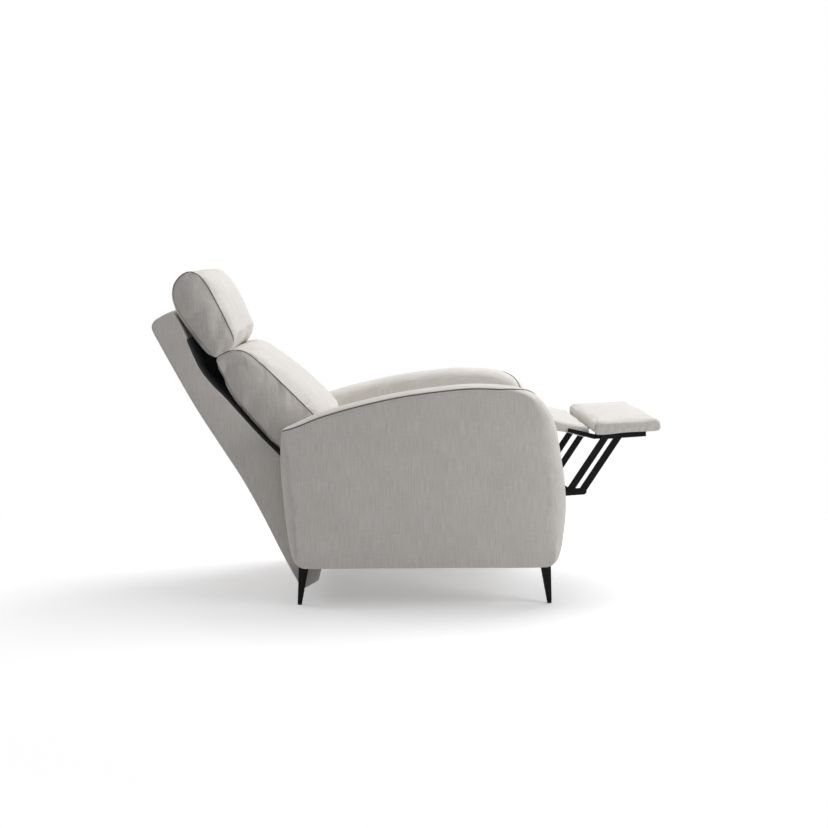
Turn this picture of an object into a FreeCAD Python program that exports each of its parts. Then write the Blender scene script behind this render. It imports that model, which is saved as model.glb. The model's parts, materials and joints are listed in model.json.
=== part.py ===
"""Reclining armchair with a fold-out footrest and a tilting headrest.

Millimetres. X points forward, Y to the sitter's left and Z up, with the floor at Z = 0.
The chair is drawn reclined, with its footrest out. Right means the sitter's right, at -Y.
"""

import FreeCAD, Part
import math
import os
import re
import Sketcher
from FreeCAD import Placement, Rotation, Vector

SIZES = (
    # Arms. Lengths run from the middle of the arm, heights from the floor.
    ("overall_width", 712),
    ("arm_thickness", 92),
    ("arm_length", 814),
    ("arm_bottom_height", 122),
    ("arm_peak_height", 639),
    ("arm_peak_setback", 157),
    ("arm_middle_height", 617),
    ("arm_middle_setback", 474),
    ("arm_rear_height", 523),
    ("arm_shoulder_height", 463),
    ("arm_shoulder_setback", 99),
    ("arm_shoulder_drop", 12),
    ("arm_front_toe_length", 67),
    ("arm_front_toe_height", 80),
    ("arm_rear_toe_length", 61),
    ("arm_rear_toe_height", 113),
    ("arm_crown", 10),
    ("arm_front_rounding", 60),
    ("arm_rear_rounding", 38),
    ("arm_front_toe_lean", 8),
    ("arm_front_lean", 14),
    ("arm_rear_lean", 4),
    ("arm_rear_toe_lean", 15),
    ("arm_front_toe_bow", 18),
    ("arm_front_bow", 11),
    ("arm_shoulder_bow", 15),
    ("arm_corner_bow", 5),
    ("arm_top_bow", 7),
    ("arm_slope_bow", 6),
    ("arm_rear_bow", 8.5),
    ("arm_rear_toe_bow", 8),
    ("arm_padding", 12),
    ("arm_frame_thickness", 24),
    ("arm_frame_inset", 72),
    # Legs, each under a steel plate that is screwed to the arm frame.
    ("leg_top_length", 29),
    ("leg_top_width", 34),
    ("leg_foot_size", 13),
    ("leg_splay", 13),
    ("front_leg_inset", 47),
    ("rear_leg_inset", 60),
    ("leg_plate_length", 72),
    ("leg_plate_width", 40),
    ("leg_plate_thickness", 4),
    ("glide_thickness", 5),
    ("leg_screw_diameter", 6),
    ("leg_screw_head_diameter", 11),
    ("leg_screw_head_height", 3),
    ("leg_screw_depth", 35),
    ("leg_screw_inset", 14),
    # Steel plates and pins. The plates of each side lie in layers, counted inward from the arm.
    ("plate_thickness", 4),
    ("layer_gap", 1),
    ("plate_standoff", 4),
    ("plate_margin", 24),
    ("plate_web_height", 50),
    ("pin_diameter", 8),
    ("pin_clearance", 0.1),
    ("pin_head_diameter", 14),
    ("pin_head_clearance", 0.1),
    ("link_width", 20),
    ("rail_top_height", 350),
    ("rail_height", 32),
    ("rail_width", 32),
    ("rail_wall", 2),
    ("front_rail_x", 166),
    ("rear_rail_x", -184),
    ("arm_bolt_diameter", 8),
    ("arm_bolt_head_diameter", 16),
    ("arm_bolt_head_height", 5),
    ("arm_bolt_drop", 25),
    ("front_arm_bolt_x", 100),
    ("rear_arm_bolt_x", -120),
    # Footrest linkage. Angles are in degrees above the forward horizontal.
    ("fold_pivot_x", 267.8),
    ("fold_pivot_drop", 37),
    ("guide_pivot_setback", 37.7),
    ("guide_pivot_rise", 20.2),
    ("lower_link_length", 165),
    ("lower_link_angle", 3.8),
    ("lift_link_length", 196),
    ("lift_link_angle", 57),
    ("lift_link_spacing", 42),
    ("lift_link_ear", 28),
    ("guide_hole_clearance", 3),
    ("torque_tube_diameter", 24),
    ("torque_tube_wall", 3),
    # Footrest pads. The main pad is placed along its brackets, from the rear lift link's pin.
    ("pad_heel", 30),
    ("pad_length", 190),
    ("pad_side_gap", 5),
    ("pad_thickness", 28),
    ("pad_crown", 7),
    ("pad_seam_inset", 4),
    ("pad_edge_lean", 2),
    ("pad_edge_bow", 3),
    ("pad_board_thickness", 12),
    ("pad_board_margin", 6),
    ("bracket_rise", 10),
    ("bracket_drop", 8),
    ("bracket_tail", 12),
    ("bracket_length", 132),
    ("flange_start", 72),
    ("flange_width", 10),
    ("flange_thickness", 3),
    ("middle_pad_angle", -13),
    ("middle_pad_reach", 48),
    ("middle_pad_length", 125),
    ("middle_pad_thickness", 22),
    ("middle_pad_drop", 13),
    ("middle_pad_crown", 6),
    ("middle_bracket_length", 110),
    ("middle_bracket_dip", 2),
    ("middle_bracket_neck", 14),
    # Seat.
    ("seat_front_x", 338),
    ("seat_rear_x", -255),
    ("seat_front_height", 474),
    ("seat_rear_height", 430),
    ("seat_crown", 14),
    ("seat_nose_length", 38),
    ("seat_seam_inset", 9),
    ("seat_edge_bow", 9),
    ("seat_side_gap", 2),
    ("seat_frame_front_x", 300),
    ("seat_frame_rear_x", -240),
    ("seat_frame_side_gap", 34),
    ("seat_rail_width", 30),
    ("seat_rail_height", 32),
    ("strap_width", 55),
    ("strap_thickness", 2.5),
    # Back, drawn upright from its heel: levels run up the back, depths forward from its rear face.
    ("back_angle", 28.7),
    ("back_heel_x", -358),
    ("back_heel_height", 39),
    ("back_length", 890),
    ("back_foot_depth", 60),
    ("back_hip_level", 388),
    ("back_hip_depth", 138),
    ("back_neck_level", 720),
    ("back_neck_depth", 64),
    ("back_crest_depth", 84),
    ("back_rounding", 14),
    ("back_crest_rounding", 18),
    ("back_crest_bow", 3),
    ("back_hip_bow", 6),
    ("back_neck_bow", 9),
    ("back_rear_bow", 7),
    ("back_side_gap", 6),
    ("back_pivot_x", -265),
    ("back_pivot_drop", 75),
    ("back_bracket_foot", 110),
    ("back_bracket_height", 150),
    ("stile_width", 35),
    ("stile_depth", 22),
    ("stile_setback", 20),
    ("stile_bottom_level", 24),
    ("stile_top_level", 850),
    ("back_rail_height", 40),
    ("bottom_rail_level", 150),
    ("head_rail_level", 668),
    # Back cushion and head cushion, in the back's levels and depths.
    ("cushion_gap", 4),
    ("cushion_side_gap", 9),
    ("junction_level", 714),
    ("cushion_rear_depth", 118),
    ("cushion_seam_inset", 6),
    ("cushion_bow", 5),
    ("back_cushion_bottom_level", 338),
    ("back_cushion_rear_level", 392),
    ("back_cushion_lip_rise", 75),
    ("back_cushion_shoulder_drop", 35),
    ("back_cushion_bottom_depth", 300),
    ("back_cushion_full_depth", 288),
    ("back_cushion_middle_depth", 250),
    ("back_cushion_top_depth", 198),
    ("back_cushion_rear_depth", 160),
    ("back_cushion_crown", 52),
    ("head_cushion_length", 254),
    ("head_cushion_depth", 197),
    ("head_cushion_rear_depth", 90),
    ("head_cushion_crown", 40),
    ("head_cushion_edge", 30),
    ("head_board_inset", 55),
    ("head_board_length", 180),
    ("head_board_thickness", 12),
    ("head_board_rise", 26),
    # Headrest hinge.
    ("head_pivot_depth", 150),
    ("hinge_inset", 105),
    ("hinge_leaf_width", 24),
    ("hinge_leaf_length", 90),
    ("hinge_well_clearance", 2),
)

SIDES = (("right", -1), ("left", 1))
STRAP_COUNT = 5
STATION_ANGLES = (-90, -60, -30, 0, 30, 60, 90)
EDGE_CROWN = 0.55
PLATE_LAYER = 0
LOWER_LAYER = 1
REAR_LIFT_LAYER = 2
BRACKET_LAYER = 3
FRONT_LIFT_LAYER = 4
MIDDLE_LAYER = 5
PIN_HOLE = "pin_diameter + pin_clearance"
CLEAR_WIDTH = "(overall_width - 2 * arm_thickness)"
PLATE_SPAN = "(%s - 2 * plate_standoff - 2 * plate_thickness)" % CLEAR_WIDTH
PAD_WIDTH = "(%s - 2 * pad_side_gap)" % CLEAR_WIDTH
SEAT_FRAME_WIDTH = "(%s - 2 * seat_frame_side_gap)" % CLEAR_WIDTH
CUSHION_WIDTH = "(%s - 2 * cushion_side_gap)" % CLEAR_WIDTH
HEAD_BOARD_WIDTH = "(%s - 2 * head_board_inset)" % CUSHION_WIDTH
HINGE_SPREAD = "(%s / 2 - hinge_inset)" % CUSHION_WIDTH
FOLD_HEIGHT = "(rail_top_height - fold_pivot_drop)"
BACK_PIVOT_HEIGHT = "(rail_top_height - back_pivot_drop)"
ARM_BOLT_HEIGHT = "(rail_top_height - arm_bolt_drop)"
LEG_HEIGHT = "arm_bottom_height - leg_plate_thickness - glide_thickness"

doc = FreeCAD.newDocument("recliner")
sheet = doc.addObject("Spreadsheet::Sheet", "Sizes")
for row, (alias, number) in enumerate(SIZES, start=1):
    sheet.set("A%d" % row, alias)
    sheet.set("B%d" % row, str(number))
    sheet.setAlias("B%d" % row, alias)
doc.recompute()

parts = []


def size(expression):
    """Value of an expression in the sheet's names."""
    return float(sheet.evalExpression(expression))


def bind(owner, prop, expression):
    """Bind a property or constraint to an expression in the sheet's names."""
    owner.setExpression(prop, re.sub(r"[a-z]+(?:_[a-z]+)+", r"Sizes.\g<0>", expression))


def keep(thing, label):
    """List a finished object as a sub-part."""
    thing.Label = label
    parts.append(thing)
    return thing


def along(angle, distance):
    """Step in the XZ plane at an angle above forward."""
    return Vector(math.cos(math.radians(angle)), 0, math.sin(math.radians(angle))) * distance


def turned(point, angle):
    """Placement at a point, with local X raised by an angle above forward."""
    return Placement(point, Rotation(Vector(0, 1, 0), -angle))


HALF_CLEAR = size(CLEAR_WIDTH) / 2
LAYER_PITCH = size("plate_thickness + layer_gap")
FOLD_PIVOT = Vector(size("fold_pivot_x"), 0, size(FOLD_HEIGHT))
GUIDE_PIVOT = FOLD_PIVOT + Vector(-size("guide_pivot_setback"), 0, size("guide_pivot_rise"))
REAR_LOWER_PIN = FOLD_PIVOT + along(size("lower_link_angle"), size("lower_link_length"))
FRONT_LOWER_PIN = REAR_LOWER_PIN + along(size("lower_link_angle"), size("lift_link_spacing"))
GUIDE_PIN = REAR_LOWER_PIN + along(size("lift_link_angle + 90"), size("lift_link_ear"))
REAR_UPPER_PIN = REAR_LOWER_PIN + along(size("lift_link_angle"), size("lift_link_length"))
FRONT_UPPER_PIN = FRONT_LOWER_PIN + along(size("lift_link_angle"), size("lift_link_length"))
BACK_PIVOT = Vector(size("back_pivot_x"), 0, size(BACK_PIVOT_HEIGHT))
BACK = turned(Vector(size("back_heel_x"), 0, size("back_heel_height")), size("back_angle"))
PAD = turned(REAR_UPPER_PIN, size("lower_link_angle"))
MIDDLE_PAD = turned(REAR_UPPER_PIN, size("middle_pad_angle"))
HEAD_PIVOT = BACK.multVec(Vector(size("head_pivot_depth"), 0, size("junction_level")))


def inner_face(layer):
    """Distance from the middle of the chair to the inner face of a plate layer."""
    return HALF_CLEAR - size("plate_standoff + plate_thickness") - layer * LAYER_PITCH


def outer_face(layer):
    """Distance from the middle of the chair to the outer face of a plate layer."""
    return inner_face(layer) + size("plate_thickness")


def in_layer(place, side, layer):
    """Move a placement sideways, so that a plate drawn from Y = 0 toward -Y fills a layer."""
    sideways = outer_face(layer) if side > 0 else -inner_face(layer)
    return Placement(Vector(0, sideways, 0), Rotation()) * place


def box(name, length, width, height, place):
    """Box with bound sizes, from its corner."""
    block = doc.addObject("Part::Box", name)
    bind(block, "Length", length)
    bind(block, "Width", width)
    bind(block, "Height", height)
    block.Placement = place
    return block


def cross_pin(name, diameter, point, start, end):
    """Cylinder along Y between two distances from the middle of the chair."""
    pin = doc.addObject("Part::Cylinder", name)
    bind(pin, "Radius", "(%s) / 2" % diameter)
    pin.Height = abs(end - start)
    pin.Placement = Placement(Vector(point.x, max(start, end), point.z), Rotation(Vector(1, 0, 0), 90))
    return pin


def upright_pin(name, diameter, point, height):
    """Cylinder along Z from a point."""
    pin = doc.addObject("Part::Cylinder", name)
    bind(pin, "Radius", "(%s) / 2" % diameter)
    pin.Height = height
    pin.Placement = Placement(point, Rotation())
    return pin


def fused(name, pieces):
    """One solid from pieces that touch or overlap."""
    whole = doc.addObject("Part::MultiFuse", name)
    whole.Shapes = pieces
    return whole


def grouped(name, pieces):
    """Separate solids in one object."""
    group = doc.addObject("Part::Compound", name)
    group.Links = pieces
    return group


def cut(name, base, tool):
    """One object less another."""
    rest = doc.addObject("Part::Cut", name)
    rest.Base = base
    rest.Tool = tool
    return rest


def sketch_on(body, role, name):
    """Sketch on one of a body's own origin planes."""
    sketch = body.newObject("Sketcher::SketchObject", name)
    plane = next(feature for feature in body.Origin.OriginFeatures if feature.Role == role)
    sketch.AttachmentSupport = [(plane, "")]
    sketch.MapMode = "FlatFace"
    return sketch


def fix_point(sketch, geometry, vertex, across, up):
    """Bind a sketch point's two coordinates."""
    for direction, expression in (("DistanceX", across), ("DistanceY", up)):
        index = sketch.addConstraint(
            Sketcher.Constraint(direction, -1, 1, geometry, vertex, size(expression))
        )
        bind(sketch, "Constraints[%d]" % index, expression)


def polygon(sketch, corners):
    """Closed polygon through bound corners."""
    points = [Vector(size(across), size(up), 0) for across, up in corners]
    first = sketch.GeometryCount
    count = len(corners)
    for index in range(count):
        sketch.addGeometry(Part.LineSegment(points[index], points[(index + 1) % count]), False)
    for index in range(count):
        following = first + (index + 1) % count
        sketch.addConstraint(Sketcher.Constraint("Coincident", first + index, 2, following, 1))
    for index, (across, up) in enumerate(corners):
        fix_point(sketch, first + index, 1, across, up)


def hole(sketch, across, up, diameter):
    """Round hole with a bound place and diameter."""
    centre = Vector(size(across), size(up), 0)
    circle = sketch.addGeometry(Part.Circle(centre, Vector(0, 0, 1), size(diameter) / 2), False)
    fix_point(sketch, circle, 3, across, up)
    index = sketch.addConstraint(Sketcher.Constraint("Diameter", circle, size(diameter)))
    bind(sketch, "Constraints[%d]" % index, diameter)


def strip(sketch, across, up, width):
    """Round-ended strip from the origin to a point."""
    reach = Vector(size(across), size(up), 0)
    radius = size(width) / 2
    lean = math.atan2(reach.y, reach.x)
    normal = Vector(-math.sin(lean), math.cos(lean), 0) * radius
    upward = Vector(0, 0, 1)
    near = sketch.addGeometry(
        Part.ArcOfCircle(
            Part.Circle(Vector(), upward, radius), lean + math.pi / 2, lean + 3 * math.pi / 2
        )
    )
    far = sketch.addGeometry(
        Part.ArcOfCircle(
            Part.Circle(reach, upward, radius), lean - math.pi / 2, lean + math.pi / 2
        )
    )
    left = sketch.addGeometry(Part.LineSegment(normal, reach + normal))
    right = sketch.addGeometry(Part.LineSegment(reach - normal, -normal))
    for first, first_end, second, second_end in (
        (near, 1, left, 1),
        (left, 2, far, 2),
        (far, 1, right, 1),
        (right, 2, near, 2),
    ):
        sketch.addConstraint(
            Sketcher.Constraint("Tangent", first, first_end, second, second_end)
        )
    sketch.addConstraint(Sketcher.Constraint("Coincident", near, 3, -1, 1))
    fix_point(sketch, far, 3, across, up)
    index = sketch.addConstraint(Sketcher.Constraint("Radius", near, radius))
    bind(sketch, "Constraints[%d]" % index, "(%s) / 2" % width)


def pad_sketch(body, sketch, length, reverse=False):
    """Pad a sketch by a bound length."""
    pad = body.newObject("PartDesign::Pad", sketch.Name + "_pad")
    pad.Profile = sketch
    bind(pad, "Length", length)
    pad.Reversed = reverse
    sketch.Visibility = False
    return pad


def link(label, side, layer, place, reach, holes):
    """Flat bar with round ends along local X, and pin holes along it."""
    body = doc.addObject("PartDesign::Body", label)
    sketch = sketch_on(body, "XZ_Plane", label + "_outline")
    strip(sketch, reach, "0", "link_width")
    for distance in holes:
        hole(sketch, distance, "0", PIN_HOLE)
    pad_sketch(body, sketch, "plate_thickness")
    body.Placement = in_layer(place, side, layer)
    return body


def flat_plate(label, side, layer, place, corners, holes):
    """Flat plate with straight edges and pin holes."""
    body = doc.addObject("PartDesign::Body", label)
    sketch = sketch_on(body, "XZ_Plane", label + "_outline")
    polygon(sketch, corners)
    for across, up, diameter in holes:
        hole(sketch, across, up, diameter)
    pad_sketch(body, sketch, "plate_thickness")
    body.Placement = in_layer(place, side, layer)
    return body


def drill(body, label, places):
    """Pin holes through a plate that is made of more than one pad."""
    bores = sketch_on(body, "XZ_Plane", label + "_bores")
    for across, up in places:
        hole(bores, across, up, PIN_HOLE)
    pocket = body.newObject("PartDesign::Pocket", label + "_bore_cut")
    pocket.Profile = bores
    pocket.Midplane = True
    bind(pocket, "Length", "plate_thickness * 4")
    bores.Visibility = False
    return pocket


def stud(name, point, side, outer_layer, inner_layer):
    """Riveted pin through two plate layers, with thin heads and a collar between the plates."""
    head = size("layer_gap - pin_head_clearance")
    outside = outer_face(outer_layer)
    inside = inner_face(inner_layer)
    spans = (
        ("shank", "pin_diameter", outside, inside),
        ("outer_head", "pin_head_diameter", outside + head, outside),
        ("collar", "pin_head_diameter", inner_face(outer_layer), outer_face(inner_layer)),
        ("inner_head", "pin_head_diameter", inside, inside - head),
    )
    pieces = [
        cross_pin("%s_%s" % (name, piece), diameter, point, side * start, side * end)
        for piece, diameter, start, end in spans
    ]
    return fused(name, pieces)


def studs(label, point_layers):
    """The same set of studs on both sides, as one sub-part."""
    pieces = [
        stud("%s_%s_%d" % (label, name, index), point, side, outer_layer, inner_layer)
        for name, side in SIDES
        for index, (point, outer_layer, inner_layer) in enumerate(point_layers)
    ]
    return keep(grouped(label, pieces), label)


def section(corners, sideways):
    """Closed outline in an XZ plane: each corner has the bow of the edge that follows it."""
    edges = []
    for (across, up, bow), (next_across, next_up, _) in zip(corners, corners[1:] + corners[:1]):
        start = Vector(across, sideways, up)
        end = Vector(next_across, sideways, next_up)
        if bow:
            chord = end - start
            outward = Vector(chord.z, 0, -chord.x).normalize() * bow
            edges.append(Part.Arc(start, (start + end) * 0.5 + outward, end).toShape())
        else:
            edges.append(Part.LineSegment(start, end).toShape())
    return Part.Wire(edges)


def edge_drop(angle):
    """How far a rounded edge has fallen away at a station: 0 in the middle, 1 at the side."""
    return 1 - math.cos(math.radians(angle))


def crowned(angle):
    """How much of a crown is left at a station: 1 in the middle, 0 at the side."""
    return math.cos(math.radians(angle))


def padded(label, corners_at, half_width, place, tools):
    """Soft solid lofted across the chair through outlines, less the pieces that it holds."""
    wires = [
        section(corners_at(angle), math.sin(math.radians(angle)) * half_width)
        for angle in STATION_ANGLES
    ]
    solid = Part.makeLoft(wires, True, False)
    solid.Placement = place
    if tools:
        doc.recompute()
        solid = solid.cut([tool.Shape for tool in tools])
    feature = doc.addObject("Part::Feature", label)
    feature.Shape = solid
    return keep(feature, label)


def arm_corners(angle):
    """Arm outline at a station across its thickness."""
    drop = edge_drop(angle)
    front = size("arm_length / 2") - size("arm_front_rounding") * drop
    rear = -size("arm_length / 2") + size("arm_rear_rounding") * drop
    crown = size("arm_crown") * crowned(angle)
    bottom = size("arm_bottom_height")
    front_toe = bottom + size("arm_front_toe_height")
    rear_toe = bottom + size("arm_rear_toe_height")
    shoulder = size("arm_peak_height - arm_shoulder_drop") + crown
    peak = size("arm_peak_height") + crown
    middle = size("arm_middle_height") + crown
    rear_top = size("arm_rear_height") + crown / 2
    return [
        (rear + size("arm_rear_toe_length"), bottom, 0),
        (front - size("arm_front_toe_length"), bottom, size("arm_front_toe_bow")),
        (front - size("arm_front_toe_lean"), front_toe, size("arm_front_bow")),
        (front - size("arm_front_lean"), size("arm_shoulder_height"), size("arm_shoulder_bow")),
        (front - size("arm_shoulder_setback"), shoulder, size("arm_corner_bow")),
        (front - size("arm_peak_setback"), peak, size("arm_top_bow")),
        (front - size("arm_middle_setback"), middle, size("arm_slope_bow")),
        (rear + size("arm_rear_lean"), rear_top, size("arm_rear_bow")),
        (rear + size("arm_rear_toe_lean"), rear_toe, size("arm_rear_toe_bow")),
    ]


def arm_middle(side):
    """Placement of an arm's middle plane."""
    return Placement(Vector(0, side * (HALF_CLEAR + size("arm_thickness / 2")), 0), Rotation())


def leg_tops():
    """Name, side, X of the top and outward direction of each leg."""
    for name, side in SIDES:
        yield "front_leg_" + name, side, size("arm_length / 2 - front_leg_inset"), 1
        yield "rear_leg_" + name, side, -size("arm_length / 2 - rear_leg_inset"), -1


def frame_middle(side):
    """Y of the middle of an arm's plywood frame."""
    return side * (HALF_CLEAR + size("arm_padding + arm_frame_thickness / 2"))


def make_arms():
    """Legs and their plates, screws, plywood frames and padded covers."""
    screws = []
    glides = []
    plates = []
    for name, side, top_x, outward in leg_tops():
        make_leg(name, side, top_x, outward)
        foot = Vector(top_x + outward * size("leg_splay"), frame_middle(side), 0)
        glides.append(upright_pin(name + "_glide", "leg_foot_size", foot, size("glide_thickness")))
        screw = make_leg_screw(name + "_screw", side, top_x, outward)
        screws.append(screw)
        plates.append(make_leg_plate(name + "_plate", side, top_x, outward, screw))
    bolts = [
        make_arm_bolt("%s_%s" % (bolt, name), side, size(bolt))
        for name, side in SIDES
        for bolt in ("front_arm_bolt_x", "rear_arm_bolt_x")
    ]
    keep(grouped("leg_glides", glides), "leg_glides")
    keep(grouped("leg_screws", screws), "leg_screws")
    keep(grouped("leg_plates", plates), "leg_plates")
    keep(grouped("arm_bolts", bolts), "arm_bolts")
    for name, side in SIDES:
        frame = make_arm_frame(name, side, screws + bolts)
        half = size("arm_thickness / 2")
        padded("arm_cover_" + name, arm_corners, half, arm_middle(side), [frame] + screws + bolts)


def make_leg(label, side, top_x, outward):
    """Tapered leg, splayed toward the end of the arm."""
    body = doc.addObject("PartDesign::Body", label)
    sections = []
    for end, length, width, offset, level in (
        ("foot", "leg_foot_size", "leg_foot_size", "leg_splay", "0"),
        ("top", "leg_top_length", "leg_top_width", "0", LEG_HEIGHT),
    ):
        sketch = sketch_on(body, "XY_Plane", "%s_%s" % (label, end))
        middle = "%d * %s" % (outward, offset)
        polygon(
            sketch,
            [
                ("%s + %s * %s / 2" % (middle, x_sign, length), "%s * %s / 2" % (y_sign, width))
                for x_sign, y_sign in (("-1", "-1"), ("1", "-1"), ("1", "1"), ("-1", "1"))
            ],
        )
        bind(sketch, "AttachmentOffset.Base.z", level)
        sections.append(sketch)
    loft = body.newObject("PartDesign::AdditiveLoft", label + "_taper")
    loft.Profile = sections[0]
    loft.Sections = [sections[1]]
    foot = Vector(top_x, frame_middle(side), size("glide_thickness"))
    body.Placement = Placement(foot, Rotation())
    return keep(body, label)


def make_leg_screw(name, side, top_x, outward):
    """Screw up through a leg plate into the arm frame."""
    outer_edge = top_x + outward * size("leg_top_length / 2")
    screw_x = outer_edge - outward * size("leg_plate_length - leg_screw_inset")
    under = Vector(screw_x, frame_middle(side), size("arm_bottom_height - leg_plate_thickness"))
    length = size("leg_plate_thickness + leg_screw_depth")
    head = size("leg_screw_head_height")
    return fused(
        name,
        [
            upright_pin(name + "_shank", "leg_screw_diameter", under, length),
            upright_pin(
                name + "_head", "leg_screw_head_diameter", under - Vector(0, 0, head), head
            ),
        ],
    )


def make_leg_plate(name, side, top_x, outward, screw):
    """Steel plate on a leg's top, screwed to the arm's underside."""
    outer_edge = top_x + outward * size("leg_top_length / 2")
    start_x = min(outer_edge, outer_edge - outward * size("leg_plate_length"))
    corner = Vector(
        start_x,
        frame_middle(side) - size("leg_plate_width / 2"),
        size("arm_bottom_height - leg_plate_thickness"),
    )
    place = Placement(corner, Rotation())
    blank = box(name + "_blank", "leg_plate_length", "leg_plate_width", "leg_plate_thickness", place)
    return cut(name, blank, screw)


def make_arm_bolt(name, side, bolt_x):
    """Bolt from a side plate into an arm frame, with a collar that holds the plate off the arm."""
    point = Vector(bolt_x, 0, size(ARM_BOLT_HEIGHT))
    inside = inner_face(PLATE_LAYER)
    frame_outside = HALF_CLEAR + size("arm_padding + arm_frame_thickness")
    spans = (
        ("head", "arm_bolt_head_diameter", inside - size("arm_bolt_head_height"), inside),
        ("shank", "arm_bolt_diameter", inside, frame_outside),
        ("collar", "arm_bolt_head_diameter", outer_face(PLATE_LAYER), HALF_CLEAR),
    )
    pieces = [
        cross_pin("%s_%s" % (name, piece), diameter, point, side * start, side * end)
        for piece, diameter, start, end in spans
    ]
    return fused(name, pieces)


def make_arm_frame(name, side, fasteners):
    """Plywood panel in an arm, flush with the arm's underside."""
    label = "arm_frame_" + name
    body = doc.addObject("PartDesign::Body", label + "_panel")
    sketch = sketch_on(body, "XZ_Plane", label + "_outline")
    front = "arm_length / 2 - arm_frame_inset"
    rear = "arm_frame_inset - arm_length / 2"
    polygon(
        sketch,
        [
            ("arm_rear_toe_length - arm_length / 2", "arm_bottom_height"),
            ("arm_length / 2 - arm_front_toe_length", "arm_bottom_height"),
            ("arm_length / 2 - arm_front_toe_length", "arm_bottom_height + arm_front_toe_height"),
            (front, "arm_shoulder_height"),
            (front + " - arm_shoulder_setback", "arm_peak_height - arm_frame_inset / 2"),
            ("arm_length / 2 - arm_middle_setback", "arm_middle_height - arm_frame_inset / 2"),
            (rear, "arm_rear_height - arm_frame_inset / 2"),
            (rear, "arm_bottom_height + arm_rear_toe_height"),
        ],
    )
    pad_sketch(body, sketch, "arm_frame_thickness")
    edge = frame_middle(side) + size("arm_frame_thickness / 2")
    body.Placement = Placement(Vector(0, edge, 0), Rotation())
    return keep(cut(label, body, grouped(label + "_fasteners", fasteners)), label)


def make_base_steel():
    """Side plates, cross rails and the pins that the moving parts turn on."""
    corner = BACK_PIVOT - Vector(size("plate_margin"), 0, size("plate_margin"))
    local_x = "%s - back_pivot_x + plate_margin"
    local_z = "%s - " + BACK_PIVOT_HEIGHT + " + plate_margin"
    web_top = local_z % "rail_top_height"
    web_bottom = web_top + " - plate_web_height"
    fold_x = local_x % "fold_pivot_x"
    fold_z = local_z % FOLD_HEIGHT
    corners = [
        ("0", "0"),
        ("plate_margin * 2", "0"),
        ("plate_margin * 3", web_bottom),
        (fold_x + " - plate_margin * 2", web_bottom),
        (fold_x + " - plate_margin", fold_z + " - plate_margin"),
        (fold_x + " + plate_margin", fold_z + " - plate_margin"),
        (fold_x + " + plate_margin", web_top),
        ("plate_margin * 3", web_top),
        ("0", "plate_margin * 2"),
    ]
    bolt_z = local_z % ARM_BOLT_HEIGHT
    holes = [
        ("plate_margin", "plate_margin", PIN_HOLE),
        (fold_x, fold_z, PIN_HOLE),
        (fold_x + " - guide_pivot_setback", fold_z + " + guide_pivot_rise", PIN_HOLE),
        (local_x % "front_arm_bolt_x", bolt_z, "arm_bolt_diameter + pin_clearance"),
        (local_x % "rear_arm_bolt_x", bolt_z, "arm_bolt_diameter + pin_clearance"),
    ]
    for name, side in SIDES:
        label = "side_plate_" + name
        plate = flat_plate(label, side, PLATE_LAYER, Placement(corner, Rotation()), corners, holes)
        keep(plate, label)
    for label, middle_x in (("front_cross_rail", "front_rail_x"), ("rear_cross_rail", "rear_rail_x")):
        make_cross_rail(label, size(middle_x))
    studs(
        "base_pivot_studs",
        (
            (BACK_PIVOT, PLATE_LAYER, LOWER_LAYER),
            (FOLD_PIVOT, PLATE_LAYER, LOWER_LAYER),
            (GUIDE_PIVOT, PLATE_LAYER, BRACKET_LAYER),
        ),
    )


def make_cross_rail(label, middle_x):
    """Rectangular steel tube between the side plates."""
    reach = inner_face(PLATE_LAYER)
    body = doc.addObject("PartDesign::Body", label)
    sketch = sketch_on(body, "XZ_Plane", label + "_profile")
    for wall in ("0", "rail_wall"):
        right = "rail_width / 2 - " + wall
        polygon(
            sketch,
            [
                ("-(%s)" % right, wall),
                (right, wall),
                (right, "rail_height - " + wall),
                ("-(%s)" % right, "rail_height - " + wall),
            ],
        )
    pad_sketch(body, sketch, PLATE_SPAN)
    body.Placement = Placement(
        Vector(middle_x, reach, size("rail_top_height - rail_height")), Rotation()
    )
    return keep(body, label)


def make_seat():
    """Seat frame on the cross rails, webbing straps and cushion."""
    length = "seat_frame_front_x - seat_frame_rear_x"
    rear_x = size("seat_frame_rear_x")
    half = size(SEAT_FRAME_WIDTH) / 2
    level = size("rail_top_height")
    for name, side in SIDES:
        inner = side * half - (size("seat_rail_width") if side > 0 else 0)
        place = Placement(Vector(rear_x, inner, level), Rotation())
        label = "seat_side_rail_" + name
        keep(box(label, length, "seat_rail_width", "seat_rail_height", place), label)
    between = SEAT_FRAME_WIDTH + " - 2 * seat_rail_width"
    start = size("seat_rail_width") - half
    for label, corner_x in (
        ("seat_front_rail", size("seat_frame_front_x - seat_rail_width")),
        ("seat_rear_rail", rear_x),
    ):
        place = Placement(Vector(corner_x, start, level), Rotation())
        keep(box(label, "seat_rail_width", between, "seat_rail_height", place), label)
    straps = []
    pitch = size(between) / STRAP_COUNT
    top = level + size("seat_rail_height")
    for index in range(STRAP_COUNT):
        sideways = start + pitch * (index + 0.5) - size("strap_width / 2")
        place = Placement(Vector(rear_x, sideways, top), Rotation())
        straps.append(
            box("seat_strap_%d" % index, length, "strap_width", "strap_thickness", place)
        )
    keep(grouped("seat_webbing", straps), "seat_webbing")
    padded(
        "seat_cushion", seat_corners, HALF_CLEAR - size("seat_side_gap"), Placement(), []
    )


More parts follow.
